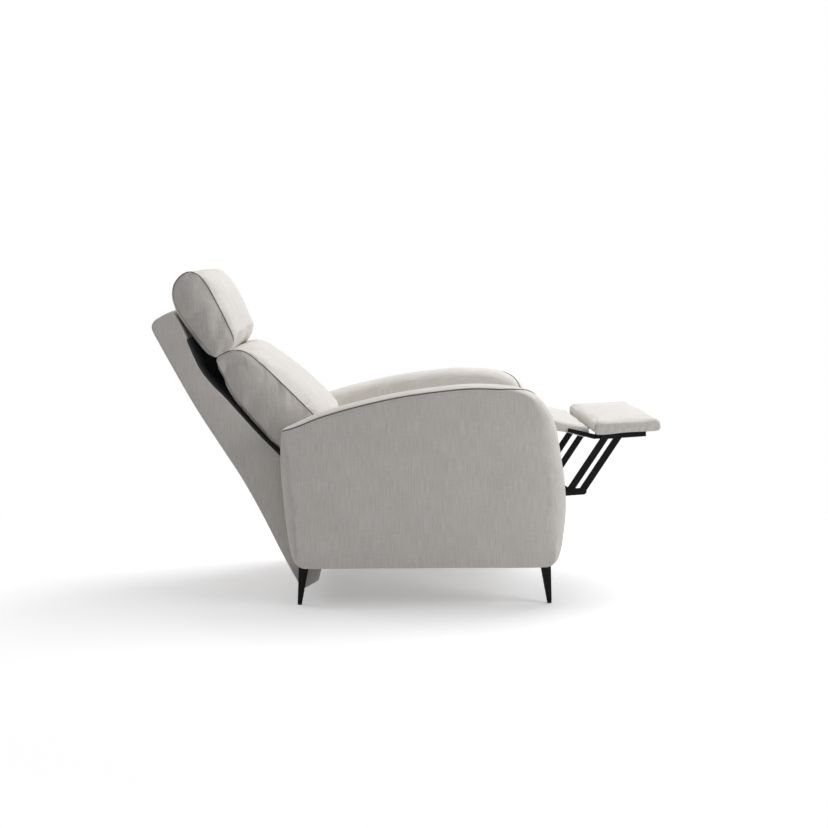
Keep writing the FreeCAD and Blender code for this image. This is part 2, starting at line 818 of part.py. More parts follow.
def seat_corners(angle):
    """Seat cushion outline at a station across the chair."""
    inset = size("seat_seam_inset") * edge_drop(angle)
    crown = size("seat_crown") * crowned(angle)
    front = size("seat_front_x") - inset
    rear = size("seat_rear_x") + inset
    bottom = size("rail_top_height + seat_rail_height + strap_thickness")
    nose = size("seat_nose_length")
    bow = size("seat_edge_bow")
    front_top = size("seat_front_height")
    rear_top = size("seat_rear_height")
    return [
        (rear, bottom, 0),
        (front - nose, bottom, bow),
        (front, (bottom + front_top) / 2, bow),
        (front - nose, front_top + crown, bow),
        (rear + nose, rear_top + crown / 2, bow),
        (rear, (bottom + rear_top) / 2, 0),
    ]


def back_box(name, depth, sideways, level, sizes):
    """Box in the back's own frame."""
    corner = Placement(Vector(depth, sideways, level), Rotation())
    return box(name, sizes[0], sizes[1], sizes[2], BACK * corner)


def make_back():
    """Back frame, webbing, brackets, headrest hinge, shell and cushions."""
    setback = size("stile_setback")
    outside = inner_face(LOWER_LAYER)
    inside = outside - size("stile_width")
    held = []
    for name, side in SIDES:
        label = "back_stile_" + name
        start = inside if side > 0 else -outside
        sizes = ("stile_depth", "stile_width", "stile_top_level - stile_bottom_level")
        bottom = size("stile_bottom_level")
        held.append(keep(back_box(label, setback, start, bottom, sizes), label))
    between = PLATE_SPAN + " - 2 * (plate_thickness + layer_gap) - 2 * stile_width"
    for label, level in (
        ("back_bottom_rail", size("bottom_rail_level")),
        ("back_head_rail", size("head_rail_level")),
        ("back_top_rail", size("stile_top_level - back_rail_height")),
    ):
        sizes = ("stile_depth", between, "back_rail_height")
        held.append(keep(back_box(label, setback, -inside, level, sizes), label))
    held.append(make_back_webbing(setback + size("stile_depth"), inside))
    for name, side in SIDES:
        held.append(make_back_bracket("back_bracket_" + name, side))
    lower_leaves = [make_hinge_lower("head_hinge_lower_" + name, side) for name, side in SIDES]
    upper_leaves = [make_hinge_upper("head_hinge_upper_" + name, side) for name, side in SIDES]
    make_hinge_pins()
    wells = [make_hinge_well("hinge_well_" + name, side) for name, side in SIDES]
    board = make_head_board()
    half_shell = HALF_CLEAR - size("back_side_gap")
    padded("back_shell", shell_corners, half_shell, BACK, held + lower_leaves)
    half_cushion = size(CUSHION_WIDTH) / 2
    padded("back_cushion", back_cushion_corners, half_cushion, BACK, lower_leaves + wells)
    padded("head_cushion", head_cushion_corners, half_cushion, BACK, upper_leaves + wells + [board])


def make_back_webbing(depth, inside):
    """Elastic straps across the front of the back frame."""
    straps = []
    first = size("bottom_rail_level + back_rail_height")
    pitch = size("head_rail_level - bottom_rail_level - back_rail_height") / STRAP_COUNT
    reach = PLATE_SPAN + " - 2 * (plate_thickness + layer_gap)"
    start = -(inside + size("stile_width"))
    for index in range(STRAP_COUNT):
        level = first + pitch * (index + 0.5) - size("strap_width / 2")
        sizes = ("strap_thickness", reach, "strap_width")
        straps.append(back_box("back_strap_%d" % index, depth, start, level, sizes))
    return keep(grouped("back_webbing", straps), "back_webbing")


def make_back_bracket(label, side):
    """Plate from a stile to the back's pivot."""
    body = doc.addObject("PartDesign::Body", label)
    sketch = sketch_on(body, "XZ_Plane", label + "_outline")
    lean = "back_angle * 1 deg"
    step_x = "(back_pivot_x - back_heel_x)"
    step_z = "(%s - back_heel_height)" % BACK_PIVOT_HEIGHT
    depth = "%s * cos(%s) + %s * sin(%s)" % (step_x, lean, step_z, lean)
    level = "%s * cos(%s) - %s * sin(%s)" % (step_z, lean, step_x, lean)
    foot = "back_bracket_foot"
    stile_front = "stile_setback + stile_depth"
    polygon(
        sketch,
        [
            ("stile_setback", foot),
            (stile_front + " + link_width", foot),
            (depth + " + link_width / 2", level + " - link_width"),
            (depth + " + link_width", level + " - link_width / 2"),
            (depth + " + link_width", level + " + link_width / 2"),
            (depth + " + link_width / 2", level + " + link_width"),
            (stile_front + " + link_width", foot + " + back_bracket_height"),
            ("stile_setback", foot + " + back_bracket_height"),
        ],
    )
    hole(sketch, depth, level, PIN_HOLE)
    pad_sketch(body, sketch, "plate_thickness")
    body.Placement = in_layer(BACK, side, LOWER_LAYER)
    return keep(body, label)


def hinge_faces(side, step):
    """Y of a hinge leaf's upper face, with the upper leaf one layer outside the lower one."""
    middle = size(HINGE_SPREAD) + step * LAYER_PITCH
    return side * middle + size("plate_thickness / 2")


def hinge_leaf(label, side, step, corners):
    """Flat hinge leaf in the back's frame, with a hole at the headrest pivot."""
    body = doc.addObject("PartDesign::Body", label)
    sketch = sketch_on(body, "XZ_Plane", label + "_outline")
    polygon(sketch, corners)
    hole(sketch, "head_pivot_depth", "junction_level", PIN_HOLE)
    pad_sketch(body, sketch, "plate_thickness")
    sideways = Placement(Vector(0, hinge_faces(side, step), 0), Rotation())
    body.Placement = sideways * BACK
    return keep(body, label)


def make_hinge_lower(label, side):
    """Hinge leaf from the back's head rail to the headrest pivot."""
    root = "stile_setback + stile_depth"
    half = "hinge_leaf_width / 2"
    return hinge_leaf(
        label,
        side,
        0,
        [
            (root, "head_rail_level"),
            ("head_pivot_depth", "junction_level - " + half),
            ("head_pivot_depth + %s" % half, "junction_level - hinge_leaf_width / 4"),
            ("head_pivot_depth + %s" % half, "junction_level + hinge_leaf_width / 4"),
            ("head_pivot_depth", "junction_level + " + half),
            (root, "head_rail_level + back_rail_height"),
        ],
    )


def make_hinge_upper(label, side):
    """Hinge leaf from the headrest pivot up along the headrest board."""
    half = "hinge_leaf_width / 2"
    top = "junction_level + hinge_leaf_length"
    return hinge_leaf(
        label,
        side,
        1,
        [
            ("head_pivot_depth - " + half, "junction_level - hinge_leaf_width / 4"),
            ("head_pivot_depth - hinge_leaf_width / 4", "junction_level - " + half),
            ("head_pivot_depth + hinge_leaf_width / 4", "junction_level - " + half),
            ("head_pivot_depth + " + half, "junction_level - hinge_leaf_width / 4"),
            ("head_pivot_depth + " + half, top),
            ("head_pivot_depth - " + half, top),
        ],
    )


def hinge_span(side):
    """Y of the outer ends of a hinge's two leaves, nearest the middle first."""
    inner = size(HINGE_SPREAD + " - plate_thickness / 2")
    outer = size(HINGE_SPREAD + " + plate_thickness / 2") + LAYER_PITCH
    return side * inner, side * outer


def make_hinge_pins():
    """Headrest hinge pins, each with two thin heads."""
    pins = []
    head = size("layer_gap - pin_head_clearance")
    for name, side in SIDES:
        inner, outer = hinge_span(side)
        spans = (
            ("shank", "pin_diameter", inner, outer),
            ("inner_head", "pin_head_diameter", inner - side * head, inner),
            ("outer_head", "pin_head_diameter", outer, outer + side * head),
        )
        pieces = [
            cross_pin("hinge_pin_%s_%s" % (name, piece), diameter, HEAD_PIVOT, start, end)
            for piece, diameter, start, end in spans
        ]
        pins.append(fused("hinge_pin_" + name, pieces))
    return keep(grouped("head_hinge_pins", pins), "head_hinge_pins")


def make_hinge_well(name, side):
    """Room for a hinge's knuckle between the head cushion and the back cushion."""
    inner, outer = hinge_span(side)
    clearance = size("hinge_well_clearance")
    low = min(inner, outer) - clearance
    width = "2 * plate_thickness + layer_gap + 2 * hinge_well_clearance"
    reach = "hinge_leaf_width / 2 + hinge_well_clearance"
    depth = "head_pivot_depth - cushion_rear_depth + cushion_gap + 2 * hinge_leaf_width"
    start = size("cushion_rear_depth - cushion_gap - hinge_leaf_width - hinge_well_clearance")
    level = size("junction_level - %s - 2 * hinge_well_clearance" % reach)
    height = "2 * (%s) + 2 * hinge_well_clearance" % reach
    return back_box(name, start, low, level, (depth, width, height))


def make_head_board():
    """Plywood board in the headrest, behind the upper hinge leaves."""
    front = size("head_pivot_depth - hinge_leaf_width / 2")
    depth = front - size("head_board_thickness")
    level = size("junction_level + head_board_rise")
    sizes = ("head_board_thickness", HEAD_BOARD_WIDTH, "head_board_length")
    board = back_box("head_board", depth, -size(HEAD_BOARD_WIDTH) / 2, level, sizes)
    return keep(board, "head_board")


def shell_corners(angle):
    """Back shell outline at a station across the chair."""
    drop = size("back_rounding") * edge_drop(angle)
    top = size("back_length") - drop
    hip_level = size("back_hip_level")
    neck_level = size("back_neck_level")
    crest = size("back_crest_depth") - drop
    corner = size("back_crest_rounding")
    waist = (hip_level + neck_level) / 2
    return [
        (drop, drop, 0),
        (size("back_foot_depth") - drop, drop, 0),
        (size("back_hip_depth") - drop, hip_level, -size("back_hip_bow")),
        (size("back_neck_depth") - drop, neck_level, -size("back_neck_bow")),
        (crest, top - corner, size("back_crest_bow")),
        (crest - corner, top, size("back_crest_bow")),
        (drop + corner / 2, top, size("back_crest_bow")),
        (drop - size("back_rear_bow"), top - 3 * corner, size("back_rear_bow")),
        (drop, waist, -size("back_rear_bow")),
    ]


def back_cushion_corners(angle):
    """Back cushion outline at a station across the chair."""
    inset = size("cushion_seam_inset") * edge_drop(angle)
    crown = size("back_cushion_crown") * crowned(angle)
    bow = size("cushion_bow")
    top = size("junction_level - cushion_gap / 2") - inset
    bottom = size("back_cushion_bottom_level") + inset
    rear_bottom = size("back_cushion_rear_level") + inset
    middle_level = (top + rear_bottom) / 2
    full_level = bottom + size("back_cushion_lip_rise")
    shoulder_level = top - size("back_cushion_shoulder_drop")
    lip = size("back_cushion_bottom_depth") - inset + crown * EDGE_CROWN
    full = size("back_cushion_full_depth") - inset + crown
    middle = size("back_cushion_middle_depth") - inset + crown
    shoulder = size("back_cushion_top_depth") - inset + crown * EDGE_CROWN
    rear = size("cushion_rear_depth") + inset
    return [
        (size("back_cushion_rear_depth") + inset, rear_bottom, 0),
        (lip, bottom, bow),
        (full, full_level, bow),
        (middle, middle_level, bow),
        (shoulder, shoulder_level, bow),
        (size("head_pivot_depth"), top, 0),
        (rear, top, 0),
        (rear - bow, middle_level + size("back_cushion_shoulder_drop"), -bow),
    ]


def head_cushion_corners(angle):
    """Head cushion outline at a station across the chair."""
    inset = size("cushion_seam_inset") * edge_drop(angle)
    crown = size("head_cushion_crown") * crowned(angle)
    bow = size("cushion_bow")
    bottom = size("junction_level + cushion_gap / 2") + inset
    top = size("junction_level + cushion_gap / 2 + head_cushion_length") - inset
    front = size("head_cushion_depth") - inset
    rear = size("cushion_rear_depth") + inset
    upper_rear = size("head_cushion_rear_depth") + inset
    edge = size("head_cushion_edge")
    lip = front - edge / 4 + crown * EDGE_CROWN
    return [
        (rear, bottom, 0),
        (size("head_pivot_depth"), bottom, 0),
        (lip, bottom + edge, bow),
        (front + crown, bottom + 3 * edge, bow),
        (front + crown, top - 2 * edge, bow),
        (front - edge + crown * EDGE_CROWN, top - edge / 4, bow),
        ((front + upper_rear) / 2, top, bow),
        (upper_rear + edge / 4, top - edge, bow),
        (upper_rear, top - 3 * edge, bow),
    ]


def make_footrest():
    """Links, studs, tube, brackets and pads of the footrest."""
    link_holes = ("0", "lower_link_length", "lower_link_length + lift_link_spacing")
    lower = turned(FOLD_PIVOT, size("lower_link_angle"))
    rear_lift = turned(REAR_LOWER_PIN, size("lift_link_angle"))
    front_lift = turned(FRONT_LOWER_PIN, size("lift_link_angle"))
    for name, side in SIDES:
        label = "lower_link_" + name
        keep(link(label, side, LOWER_LAYER, lower, link_holes[2], link_holes), label)
        make_rear_lift_link("rear_lift_link_" + name, side, rear_lift)
        label = "front_lift_link_" + name
        ends = ("0", "lift_link_length")
        keep(link(label, side, FRONT_LIFT_LAYER, front_lift, ends[1], ends), label)
        make_guide_link("guide_link_" + name, side)
        make_pad_bracket("footrest_bracket_" + name, side)
        make_middle_bracket("middle_bracket_" + name, side)
    studs(
        "lower_link_studs",
        (
            (REAR_LOWER_PIN, LOWER_LAYER, REAR_LIFT_LAYER),
            (FRONT_LOWER_PIN, LOWER_LAYER, FRONT_LIFT_LAYER),
        ),
    )
    make_rear_lift_studs()
    studs("footrest_bracket_studs", ((FRONT_UPPER_PIN, BRACKET_LAYER, FRONT_LIFT_LAYER),))
    make_torque_tube()
    make_main_pad()
    make_middle_pad()


def make_rear_lift_link(label, side, place):
    """Lift link with an ear for the guide link."""
    body = link(label, side, REAR_LIFT_LAYER, place, "lift_link_length", ("lift_link_length",))
    ear = sketch_on(body, "XZ_Plane", label + "_ear")
    strip(ear, "0", "lift_link_ear", "link_width")
    pad_sketch(body, ear, "plate_thickness")
    drill(body, label, [("0", "0"), ("0", "lift_link_ear")])
    return keep(body, label)


def make_guide_link(label, side):
    """Bar from the base to the lift link's ear, with a wide hole at the ear."""
    reach = GUIDE_PIN - GUIDE_PIVOT
    body = doc.addObject("PartDesign::Body", label)
    sketch = sketch_on(body, "XZ_Plane", label + "_outline")
    ear = "(lift_link_angle + 90) * 1 deg"
    lower = "lower_link_angle * 1 deg"
    step_x = "guide_pivot_setback + lower_link_length * cos(%s) + lift_link_ear * cos(%s)" % (lower, ear)
    step_z = "lower_link_length * sin(%s) + lift_link_ear * sin(%s) - guide_pivot_rise" % (lower, ear)
    length = "sqrt((%s)^2 + (%s)^2)" % (step_x, step_z)
    strip(sketch, length, "0", "link_width + guide_hole_clearance")
    hole(sketch, "0", "0", PIN_HOLE)
    hole(sketch, length, "0", "pin_diameter + guide_hole_clearance")
    pad_sketch(body, sketch, "plate_thickness")
    place = turned(GUIDE_PIVOT, math.degrees(math.atan2(reach.z, reach.x)))
    body.Placement = in_layer(place, side, BRACKET_LAYER)
    return keep(body, label)


def make_pad_bracket(label, side):
    """Angle bracket under the main footrest pad."""
    body = doc.addObject("PartDesign::Body", label)
    web = sketch_on(body, "XZ_Plane", label + "_web")
    polygon(
        web,
        [
            ("-bracket_tail", "-bracket_drop"),
            ("bracket_length - bracket_tail", "-bracket_drop"),
            ("bracket_length - bracket_tail", "bracket_rise"),
            ("-bracket_tail", "bracket_rise"),
        ],
    )
    hole(web, "0", "0", PIN_HOLE)
    hole(web, "lift_link_spacing", "0", PIN_HOLE)
    pad_sketch(body, web, "plate_thickness")
    flange = sketch_on(body, "XZ_Plane", label + "_flange")
    polygon(
        flange,
        [
            ("flange_start", "bracket_rise - flange_thickness"),
            ("bracket_length - bracket_tail", "bracket_rise - flange_thickness"),
            ("bracket_length - bracket_tail", "bracket_rise"),
            ("flange_start", "bracket_rise"),
        ],
    )
    width = "flange_width" if side > 0 else "flange_width + plate_thickness"
    pad_sketch(body, flange, width, reverse=side > 0)
    body.Placement = in_layer(PAD, side, BRACKET_LAYER)
    return keep(body, label)


def make_middle_bracket(label, side):
    """Plate beside the middle pad, with a round neck on the upper pin of the rear lift link."""
    low = "-middle_bracket_dip - middle_bracket_neck"
    corners = [
        ("-pad_heel", low),
        ("-pad_heel", "-middle_bracket_dip"),
        ("-middle_bracket_length", "-middle_bracket_dip"),
        ("-middle_bracket_length", "-middle_pad_drop"),
    ]
    body = flat_plate(label, side, MIDDLE_LAYER, MIDDLE_PAD, corners, [])
    neck = sketch_on(body, "XZ_Plane", label + "_neck")
    strip(neck, "-pad_heel", "-middle_bracket_dip - middle_bracket_neck / 2", "middle_bracket_neck")
    pad_sketch(body, neck, "plate_thickness")
    drill(body, label, [("0", "0")])
    return keep(body, label)


def make_rear_lift_studs():
    """Ear studs, and the upper studs that also carry the pad brackets and the middle pad."""
    pieces = []
    for name, side in SIDES:
        pieces.append(stud("ear_stud_" + name, GUIDE_PIN, side, REAR_LIFT_LAYER, BRACKET_LAYER))
        upper = stud("upper_stud_" + name, REAR_UPPER_PIN, side, REAR_LIFT_LAYER, BRACKET_LAYER)
        reach = inner_face(BRACKET_LAYER)
        end = inner_face(MIDDLE_LAYER)
        shank = cross_pin(
            "middle_shank_" + name, "pin_diameter", REAR_UPPER_PIN, side * reach, side * end
        )
        collar = cross_pin(
            "middle_collar_" + name,
            "pin_head_diameter",
            REAR_UPPER_PIN,
            side * reach,
            side * outer_face(MIDDLE_LAYER),
        )
        pieces.append(fused("long_stud_" + name, [upper, shank, collar]))
    return keep(grouped("rear_lift_link_studs", pieces), "rear_lift_link_studs")


def make_torque_tube():
    """Tube that joins the two guide links."""
    reach = inner_face(BRACKET_LAYER)
    outer = cross_pin("tube_outside", "torque_tube_diameter", GUIDE_PIVOT, -reach, reach)
    bore = "torque_tube_diameter - 2 * torque_tube_wall"
    inner = cross_pin("tube_bore", bore, GUIDE_PIVOT, -reach, reach)
    return keep(cut("torque_tube", outer, inner), "torque_tube")


def make_main_pad():
    """Plywood board on the brackets, and the padded cover over it."""
    margin = size("pad_board_margin")
    corner = Vector(margin - size("pad_heel"), margin - size(PAD_WIDTH) / 2, size("bracket_rise"))
    board = box(
        "footrest_board",
        "pad_length - 2 * pad_board_margin",
        PAD_WIDTH + " - 2 * pad_board_margin",
        "pad_board_thickness",
        PAD * Placement(corner, Rotation()),
    )
    keep(board, "footrest_board")
    padded("footrest_pad", pad_corners, size(PAD_WIDTH) / 2, PAD, [board])


def pad_corners(angle):
    """Main pad outline at a station across the chair."""
    inset = size("pad_seam_inset") * edge_drop(angle)
    crown = size("pad_crown") * (1 + crowned(angle)) / 2
    bottom = size("bracket_rise")
    top = bottom + size("pad_thickness") - inset
    heel = inset - size("pad_heel")
    toe = size("pad_length - pad_heel") - inset
    lean = size("pad_edge_lean")
    bow = size("pad_edge_bow")
    return [(heel, bottom, 0), (toe, bottom, bow), (toe - lean, top, crown), (heel + lean, top, bow)]


def make_middle_pad():
    """Small pad between the seat and the main pad."""
    half = inner_face(MIDDLE_LAYER)
    return padded("middle_pad", middle_pad_corners, half, MIDDLE_PAD, [])


def middle_pad_corners(angle):
    """Middle pad outline at a station across the chair."""
    crown = size("middle_pad_crown") * (1 + crowned(angle)) / 2
    front = -size("middle_pad_reach")
    rear = front - size("middle_pad_length")
    bottom = -size("middle_pad_drop")
    top = bottom + size("middle_pad_thickness")
    lean = size("pad_edge_lean")
    bow = size("pad_edge_bow")
    return [(rear, bottom, 0), (front, bottom, bow), (front - lean, top, crown), (rear + lean, top, bow)]


def front_and_rear():
    """X of the footrest's toe and of the back's highest rear edge."""
    toe = PAD.multVec(Vector(size("pad_length - pad_heel"), 0, size("bracket_rise"))).x
    edge = Vector(-size("back_rounding / 2"), 0, size("back_length - 2 * back_rounding"))
    return toe, BACK.multVec(edge).x


def check_document():
    """Stop if any object failed or any sub-part has no sound solid."""
    for thing in doc.Objects:
        if "Invalid" in thing.State or "Error" in thing.State:
            raise RuntimeError("%s did not build" % thing.Label)
    for part in parts:
        if part.Shape.isNull() or not part.Shape.isValid() or not part.Shape.Solids:
            raise RuntimeError("%s has no sound solid" % part.Label)


def write_parts():
    """Write each sub-part, with the middle of the chair's length at X = 0."""
    toe, rear = front_and_rear()
    shift = Vector(-(toe + rear) / 2, 0, 0)
    os.makedirs("parts", exist_ok=True)
    for part in parts:
        shape = part.Shape.copy()
        shape.translate(shift)
        shape.exportStep("parts/%s.step" % part.Label)
    for name, point in (
        ("back pivot", BACK_PIVOT),
        ("head pivot", HEAD_PIVOT),
        ("fold pivot", FOLD_PIVOT),
        ("guide pivot", GUIDE_PIVOT),
        ("rear lower pin", REAR_LOWER_PIN),
        ("front lower pin", FRONT_LOWER_PIN),
        ("rear upper pin", REAR_UPPER_PIN),
    ):
        moved = point + shift
        print("%s: X %.3f, Z %.3f" % (name, moved.x, moved.z))


make_arms()
make_base_steel()
make_seat()
make_back()
make_footrest()
doc.recompute()
check_document()
write_parts()
print("%d sub-parts" % len(parts))
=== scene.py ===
import json
import math

import bmesh
import bpy
import numpy as np
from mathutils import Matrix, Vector


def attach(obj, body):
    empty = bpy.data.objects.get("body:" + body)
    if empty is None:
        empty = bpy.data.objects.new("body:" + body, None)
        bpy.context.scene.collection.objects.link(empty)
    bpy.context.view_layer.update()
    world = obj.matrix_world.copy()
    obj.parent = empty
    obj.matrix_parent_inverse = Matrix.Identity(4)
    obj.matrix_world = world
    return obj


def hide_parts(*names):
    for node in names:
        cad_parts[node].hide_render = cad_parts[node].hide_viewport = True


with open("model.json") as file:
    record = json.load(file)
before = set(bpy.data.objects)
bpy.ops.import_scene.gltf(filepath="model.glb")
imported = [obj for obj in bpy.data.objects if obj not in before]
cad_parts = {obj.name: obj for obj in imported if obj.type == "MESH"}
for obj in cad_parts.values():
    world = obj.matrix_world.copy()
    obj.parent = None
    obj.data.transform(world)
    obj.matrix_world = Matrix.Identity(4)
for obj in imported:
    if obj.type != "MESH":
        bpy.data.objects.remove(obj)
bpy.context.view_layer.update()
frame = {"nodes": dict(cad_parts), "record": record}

# Lengths are in millimetres in the outlines and the sizes of pieces, and in metres in meshes,
# materials and the studio.
MM = 0.001
# Place of the middle of the arms, along the chair
MIDDLE_X = 39.96
# Foot of the back and its lean at rest
BACK_HEEL = (-358 + MIDDLE_X, 39)
BACK_ANGLE = math.radians(28.7)
# Outlines across a soft piece, and points round the outline of a cushion, an arm and the shell
STATIONS = 25
PAD_STATIONS = 33
RING = 176
ARM_RING = 240
SHELL_RING = 220
# Half widths
CUSHION_HALF = 250
SHELL_HALF = 258
SEAT_HALF = 258
# Radii of piping and of sewn lines
ARM_CORD = 2.1
CUSHION_CORD = 1.25
SEWN_LINE = 0.7
CORNER_LINE = 0.9


# Materials

def material(name):
    """New node material with its tree and its surface shader."""
    made = bpy.data.materials.new(name)
    made.use_nodes = True
    return made, made.node_tree, made.node_tree.nodes["Principled BSDF"]


def add(tree, kind, **values):
    """New node with some of its properties and sockets set."""
    node = tree.nodes.new(kind)
    for key, value in values.items():
        if hasattr(node, key):
            setattr(node, key, value)
        else:
            node.inputs[key.replace("_", " ")].default_value = value
    return node


def stretched(tree, across, along, laid=True):
    """Coordinates in counts per metre across and along the warp of laid cloth, or of a cord."""
    if laid:
        source = tree.nodes.new("ShaderNodeUVMap").outputs["UV"]
        mapping = add(tree, "ShaderNodeMapping", Scale=(across, along, 1))
    else:
        source = tree.nodes.new("ShaderNodeTexCoord").outputs["Object"]
        mapping = add(tree, "ShaderNodeMapping", Scale=(along, across, across))
    tree.links.new(source, mapping.inputs["Vector"])
    return mapping.outputs["Vector"]


def ramp(tree, factor, low, high):
    """Colour between two others by a noise factor."""
    node = tree.nodes.new("ShaderNodeValToRGB")
    for element, position, colour in zip(node.color_ramp.elements, (0.3, 0.7), (low, high)):
        element.position = position
        element.color = (*colour, 1)
    tree.links.new(factor, node.inputs["Fac"])
    return node.outputs["Color"]


def mixed(tree, kind, amount, first, second):
    """Two colours mixed."""
    node = add(tree, "ShaderNodeMix", data_type="RGBA", blend_type=kind)
    node.inputs["Factor"].default_value = amount
    tree.links.new(first, node.inputs["A"])
    tree.links.new(second, node.inputs["B"])
    return node.outputs["Result"]


def relieved(tree, shader, height, strength, distance):
    """Fine relief on a surface."""
    relief = add(tree, "ShaderNodeBump", Strength=strength, Distance=distance)
    tree.links.new(height, relief.inputs["Height"])
    tree.links.new(relief.outputs["Normal"], shader.inputs["Normal"])


# Uneven threads per metre, across and along the warp
WARP = (330, 18)
WEFT = (30, 240)
# Scale of the waves of the weave
WEAVE = 120.0


def woven(name, dark, light, slub=0.5, laid=True):
    """Plain-weave cloth with uneven threads along the warp."""
    made, tree, shader = material(name)
    threads = []
    for across, along in (WARP, WEFT):
        noise = add(tree, "ShaderNodeTexNoise", Scale=1.0, Detail=3.0, Roughness=0.6)
        tree.links.new(stretched(tree, across, along, laid), noise.inputs["Vector"])
        threads.append(noise.outputs["Fac"])
    cloud = add(tree, "ShaderNodeTexNoise", Scale=9.0, Detail=2.0)
    tree.links.new(stretched(tree, 1, 1, laid), cloud.inputs["Vector"])
    warp = ramp(tree, threads[0], dark, light)
    weft = ramp(tree, threads[1], dark, light)
    cloth = mixed(tree, "MIX", 1 - slub, warp, weft)
    shade = ramp(tree, cloud.outputs["Fac"], (0.94, 0.94, 0.94), (1, 1, 1))
    tree.links.new(mixed(tree, "MULTIPLY", 1.0, cloth, shade), shader.inputs["Base Color"])
    waves = []
    for direction in ("X", "Y"):
        wave = add(
            tree, "ShaderNodeTexWave", bands_direction=direction,
            Scale=WEAVE, Distortion=1.2, Detail=2.0, Detail_Scale=2.0,
        )
        tree.links.new(stretched(tree, 1, 1, laid), wave.inputs["Vector"])
        waves.append(wave.outputs["Fac"])
    weave = add(tree, "ShaderNodeMath", operation="MULTIPLY")
    tree.links.new(waves[0], weave.inputs[0])
    tree.links.new(waves[1], weave.inputs[1])
    height = add(tree, "ShaderNodeMath", operation="ADD")
    tree.links.new(weave.outputs[0], height.inputs[0])
    tree.links.new(threads[0], height.inputs[1])
    relieved(tree, shader, height.outputs[0], 0.35, 0.0008)
    shader.inputs["Roughness"].default_value = 0.92
    shader.inputs["Specular IOR Level"].default_value = 0.18
    shader.inputs["Sheen Weight"].default_value = 0.18
    shader.inputs["Sheen Roughness"].default_value = 0.5
    return made


def coated(name, colour, roughness, metallic=0.0, specular=0.3):
    """Coated or plated surface with a fine orange-peel texture and small changes of gloss."""
    made, tree, shader = material(name)
    place = tree.nodes.new("ShaderNodeTexCoord")
    grain = add(tree, "ShaderNodeTexNoise", Scale=900.0, Detail=2.0)
    tree.links.new(place.outputs["Object"], grain.inputs["Vector"])
    wear = add(tree, "ShaderNodeTexNoise", Scale=18.0, Detail=4.0)
    tree.links.new(place.outputs["Object"], wear.inputs["Vector"])
    brighter = tuple(min(1.0, part * 1.35 + 0.004) for part in colour)
    tree.links.new(ramp(tree, wear.outputs["Fac"], colour, brighter), shader.inputs["Base Color"])
    gloss = add(tree, "ShaderNodeMapRange")
    gloss.inputs["To Min"].default_value = roughness - 0.06
    gloss.inputs["To Max"].default_value = roughness + 0.08
    tree.links.new(wear.outputs["Fac"], gloss.inputs["Value"])
    tree.links.new(gloss.outputs["Result"], shader.inputs["Roughness"])
    relieved(tree, shader, grain.outputs["Fac"], 0.08, 0.0005)
    shader.inputs["Metallic"].default_value = metallic
    shader.inputs["Specular IOR Level"].default_value = specular
    return made


def plywood(name):
    """Pale plywood with long grain."""
    made, tree, shader = material(name)
    place = tree.nodes.new("ShaderNodeTexCoord")
    mapping = add(tree, "ShaderNodeMapping", Scale=(6, 60, 60))
    tree.links.new(place.outputs["Object"], mapping.inputs["Vector"])
    grain = add(tree, "ShaderNodeTexNoise", Scale=1.0, Detail=6.0, Distortion=0.4)
    tree.links.new(mapping.outputs["Vector"], grain.inputs["Vector"])
    tree.links.new(
        ramp(tree, grain.outputs["Fac"], (0.42, 0.27, 0.14), (0.62, 0.45, 0.27)),
        shader.inputs["Base Color"],
    )
    relieved(tree, shader, grain.outputs["Fac"], 0.15, 0.0004)
    shader.inputs["Roughness"].default_value = 0.7
    return made


CREAM = {"dark": (0.655, 0.622, 0.585), "light": (0.83, 0.803, 0.77), "slub": 0.72}
FABRIC = woven("upholstery_weave", **CREAM)
# Piping cord, coloured dark so that it also stands for the shade in the groove beside it: partly
# the cord, partly painted shade
PIPING_AND_GROOVE_SHADE = woven("piping_cord_and_groove_shade", (0.14, 0.126, 0.115), (0.22, 0.2, 0.185), laid=False)
SEAM = woven("sewn_seam", (0.3, 0.275, 0.25), (0.42, 0.39, 0.36), laid=False)
COVERED = woven("covered_rail", **CREAM, laid=False)
# Black cloth on the shell's front face behind the cushions, where there is only shade: painted
# shade
PAINTED_SHADE_CLOTH = woven("painted_shade_black", (0.012, 0.012, 0.012), (0.03, 0.03, 0.03))
STRAPS = woven("elastic_webbing", (0.05, 0.045, 0.04), (0.14, 0.12, 0.1), slub=0.3, laid=False)
BLACK_STEEL = coated("black_powder_coat", (0.006, 0.006, 0.006), 0.52, specular=0.1)
ZINC = coated("zinc_plate", (0.35, 0.35, 0.36), 0.38, metallic=1.0)
GLIDE = coated("glide_plastic", (0.02, 0.02, 0.02), 0.6)
PLYWOOD = plywood("plywood_grain")


# Outlines

# Steps of a smooth curve between two of its points
CURVE_STEPS = 24


def loop_through(points, count):
    """Closed smooth curve through points, as evenly spaced points along it."""
    corners = np.array(points, float)
    total = len(corners)
    path = []
    for index in range(total):
        before, start, end, after = (corners[(index + step) % total] for step in (-1, 0, 1, 2))
        knots = [0.0]
        for first, second in ((before, start), (start, end), (end, after)):
            knots.append(knots[-1] + max(np.linalg.norm(second - first), 1e-9) ** 0.5)
        for time in np.linspace(knots[1], knots[2], CURVE_STEPS, endpoint=False):
            lower = [
                mix(a, b, knots[i], knots[i + 1], time)
                for i, (a, b) in enumerate(((before, start), (start, end), (end, after)))
            ]
            upper = [mix(lower[i], lower[i + 1], knots[i], knots[i + 2], time) for i in (0, 1)]
            path.append(mix(upper[0], upper[1], knots[1], knots[2], time))
    return resampled(np.array(path), count)


def mix(first, second, start, end, time):
    """Straight mix of two points at a time between two knots."""
    return ((end - time) * first + (time - start) * second) / (end - start)


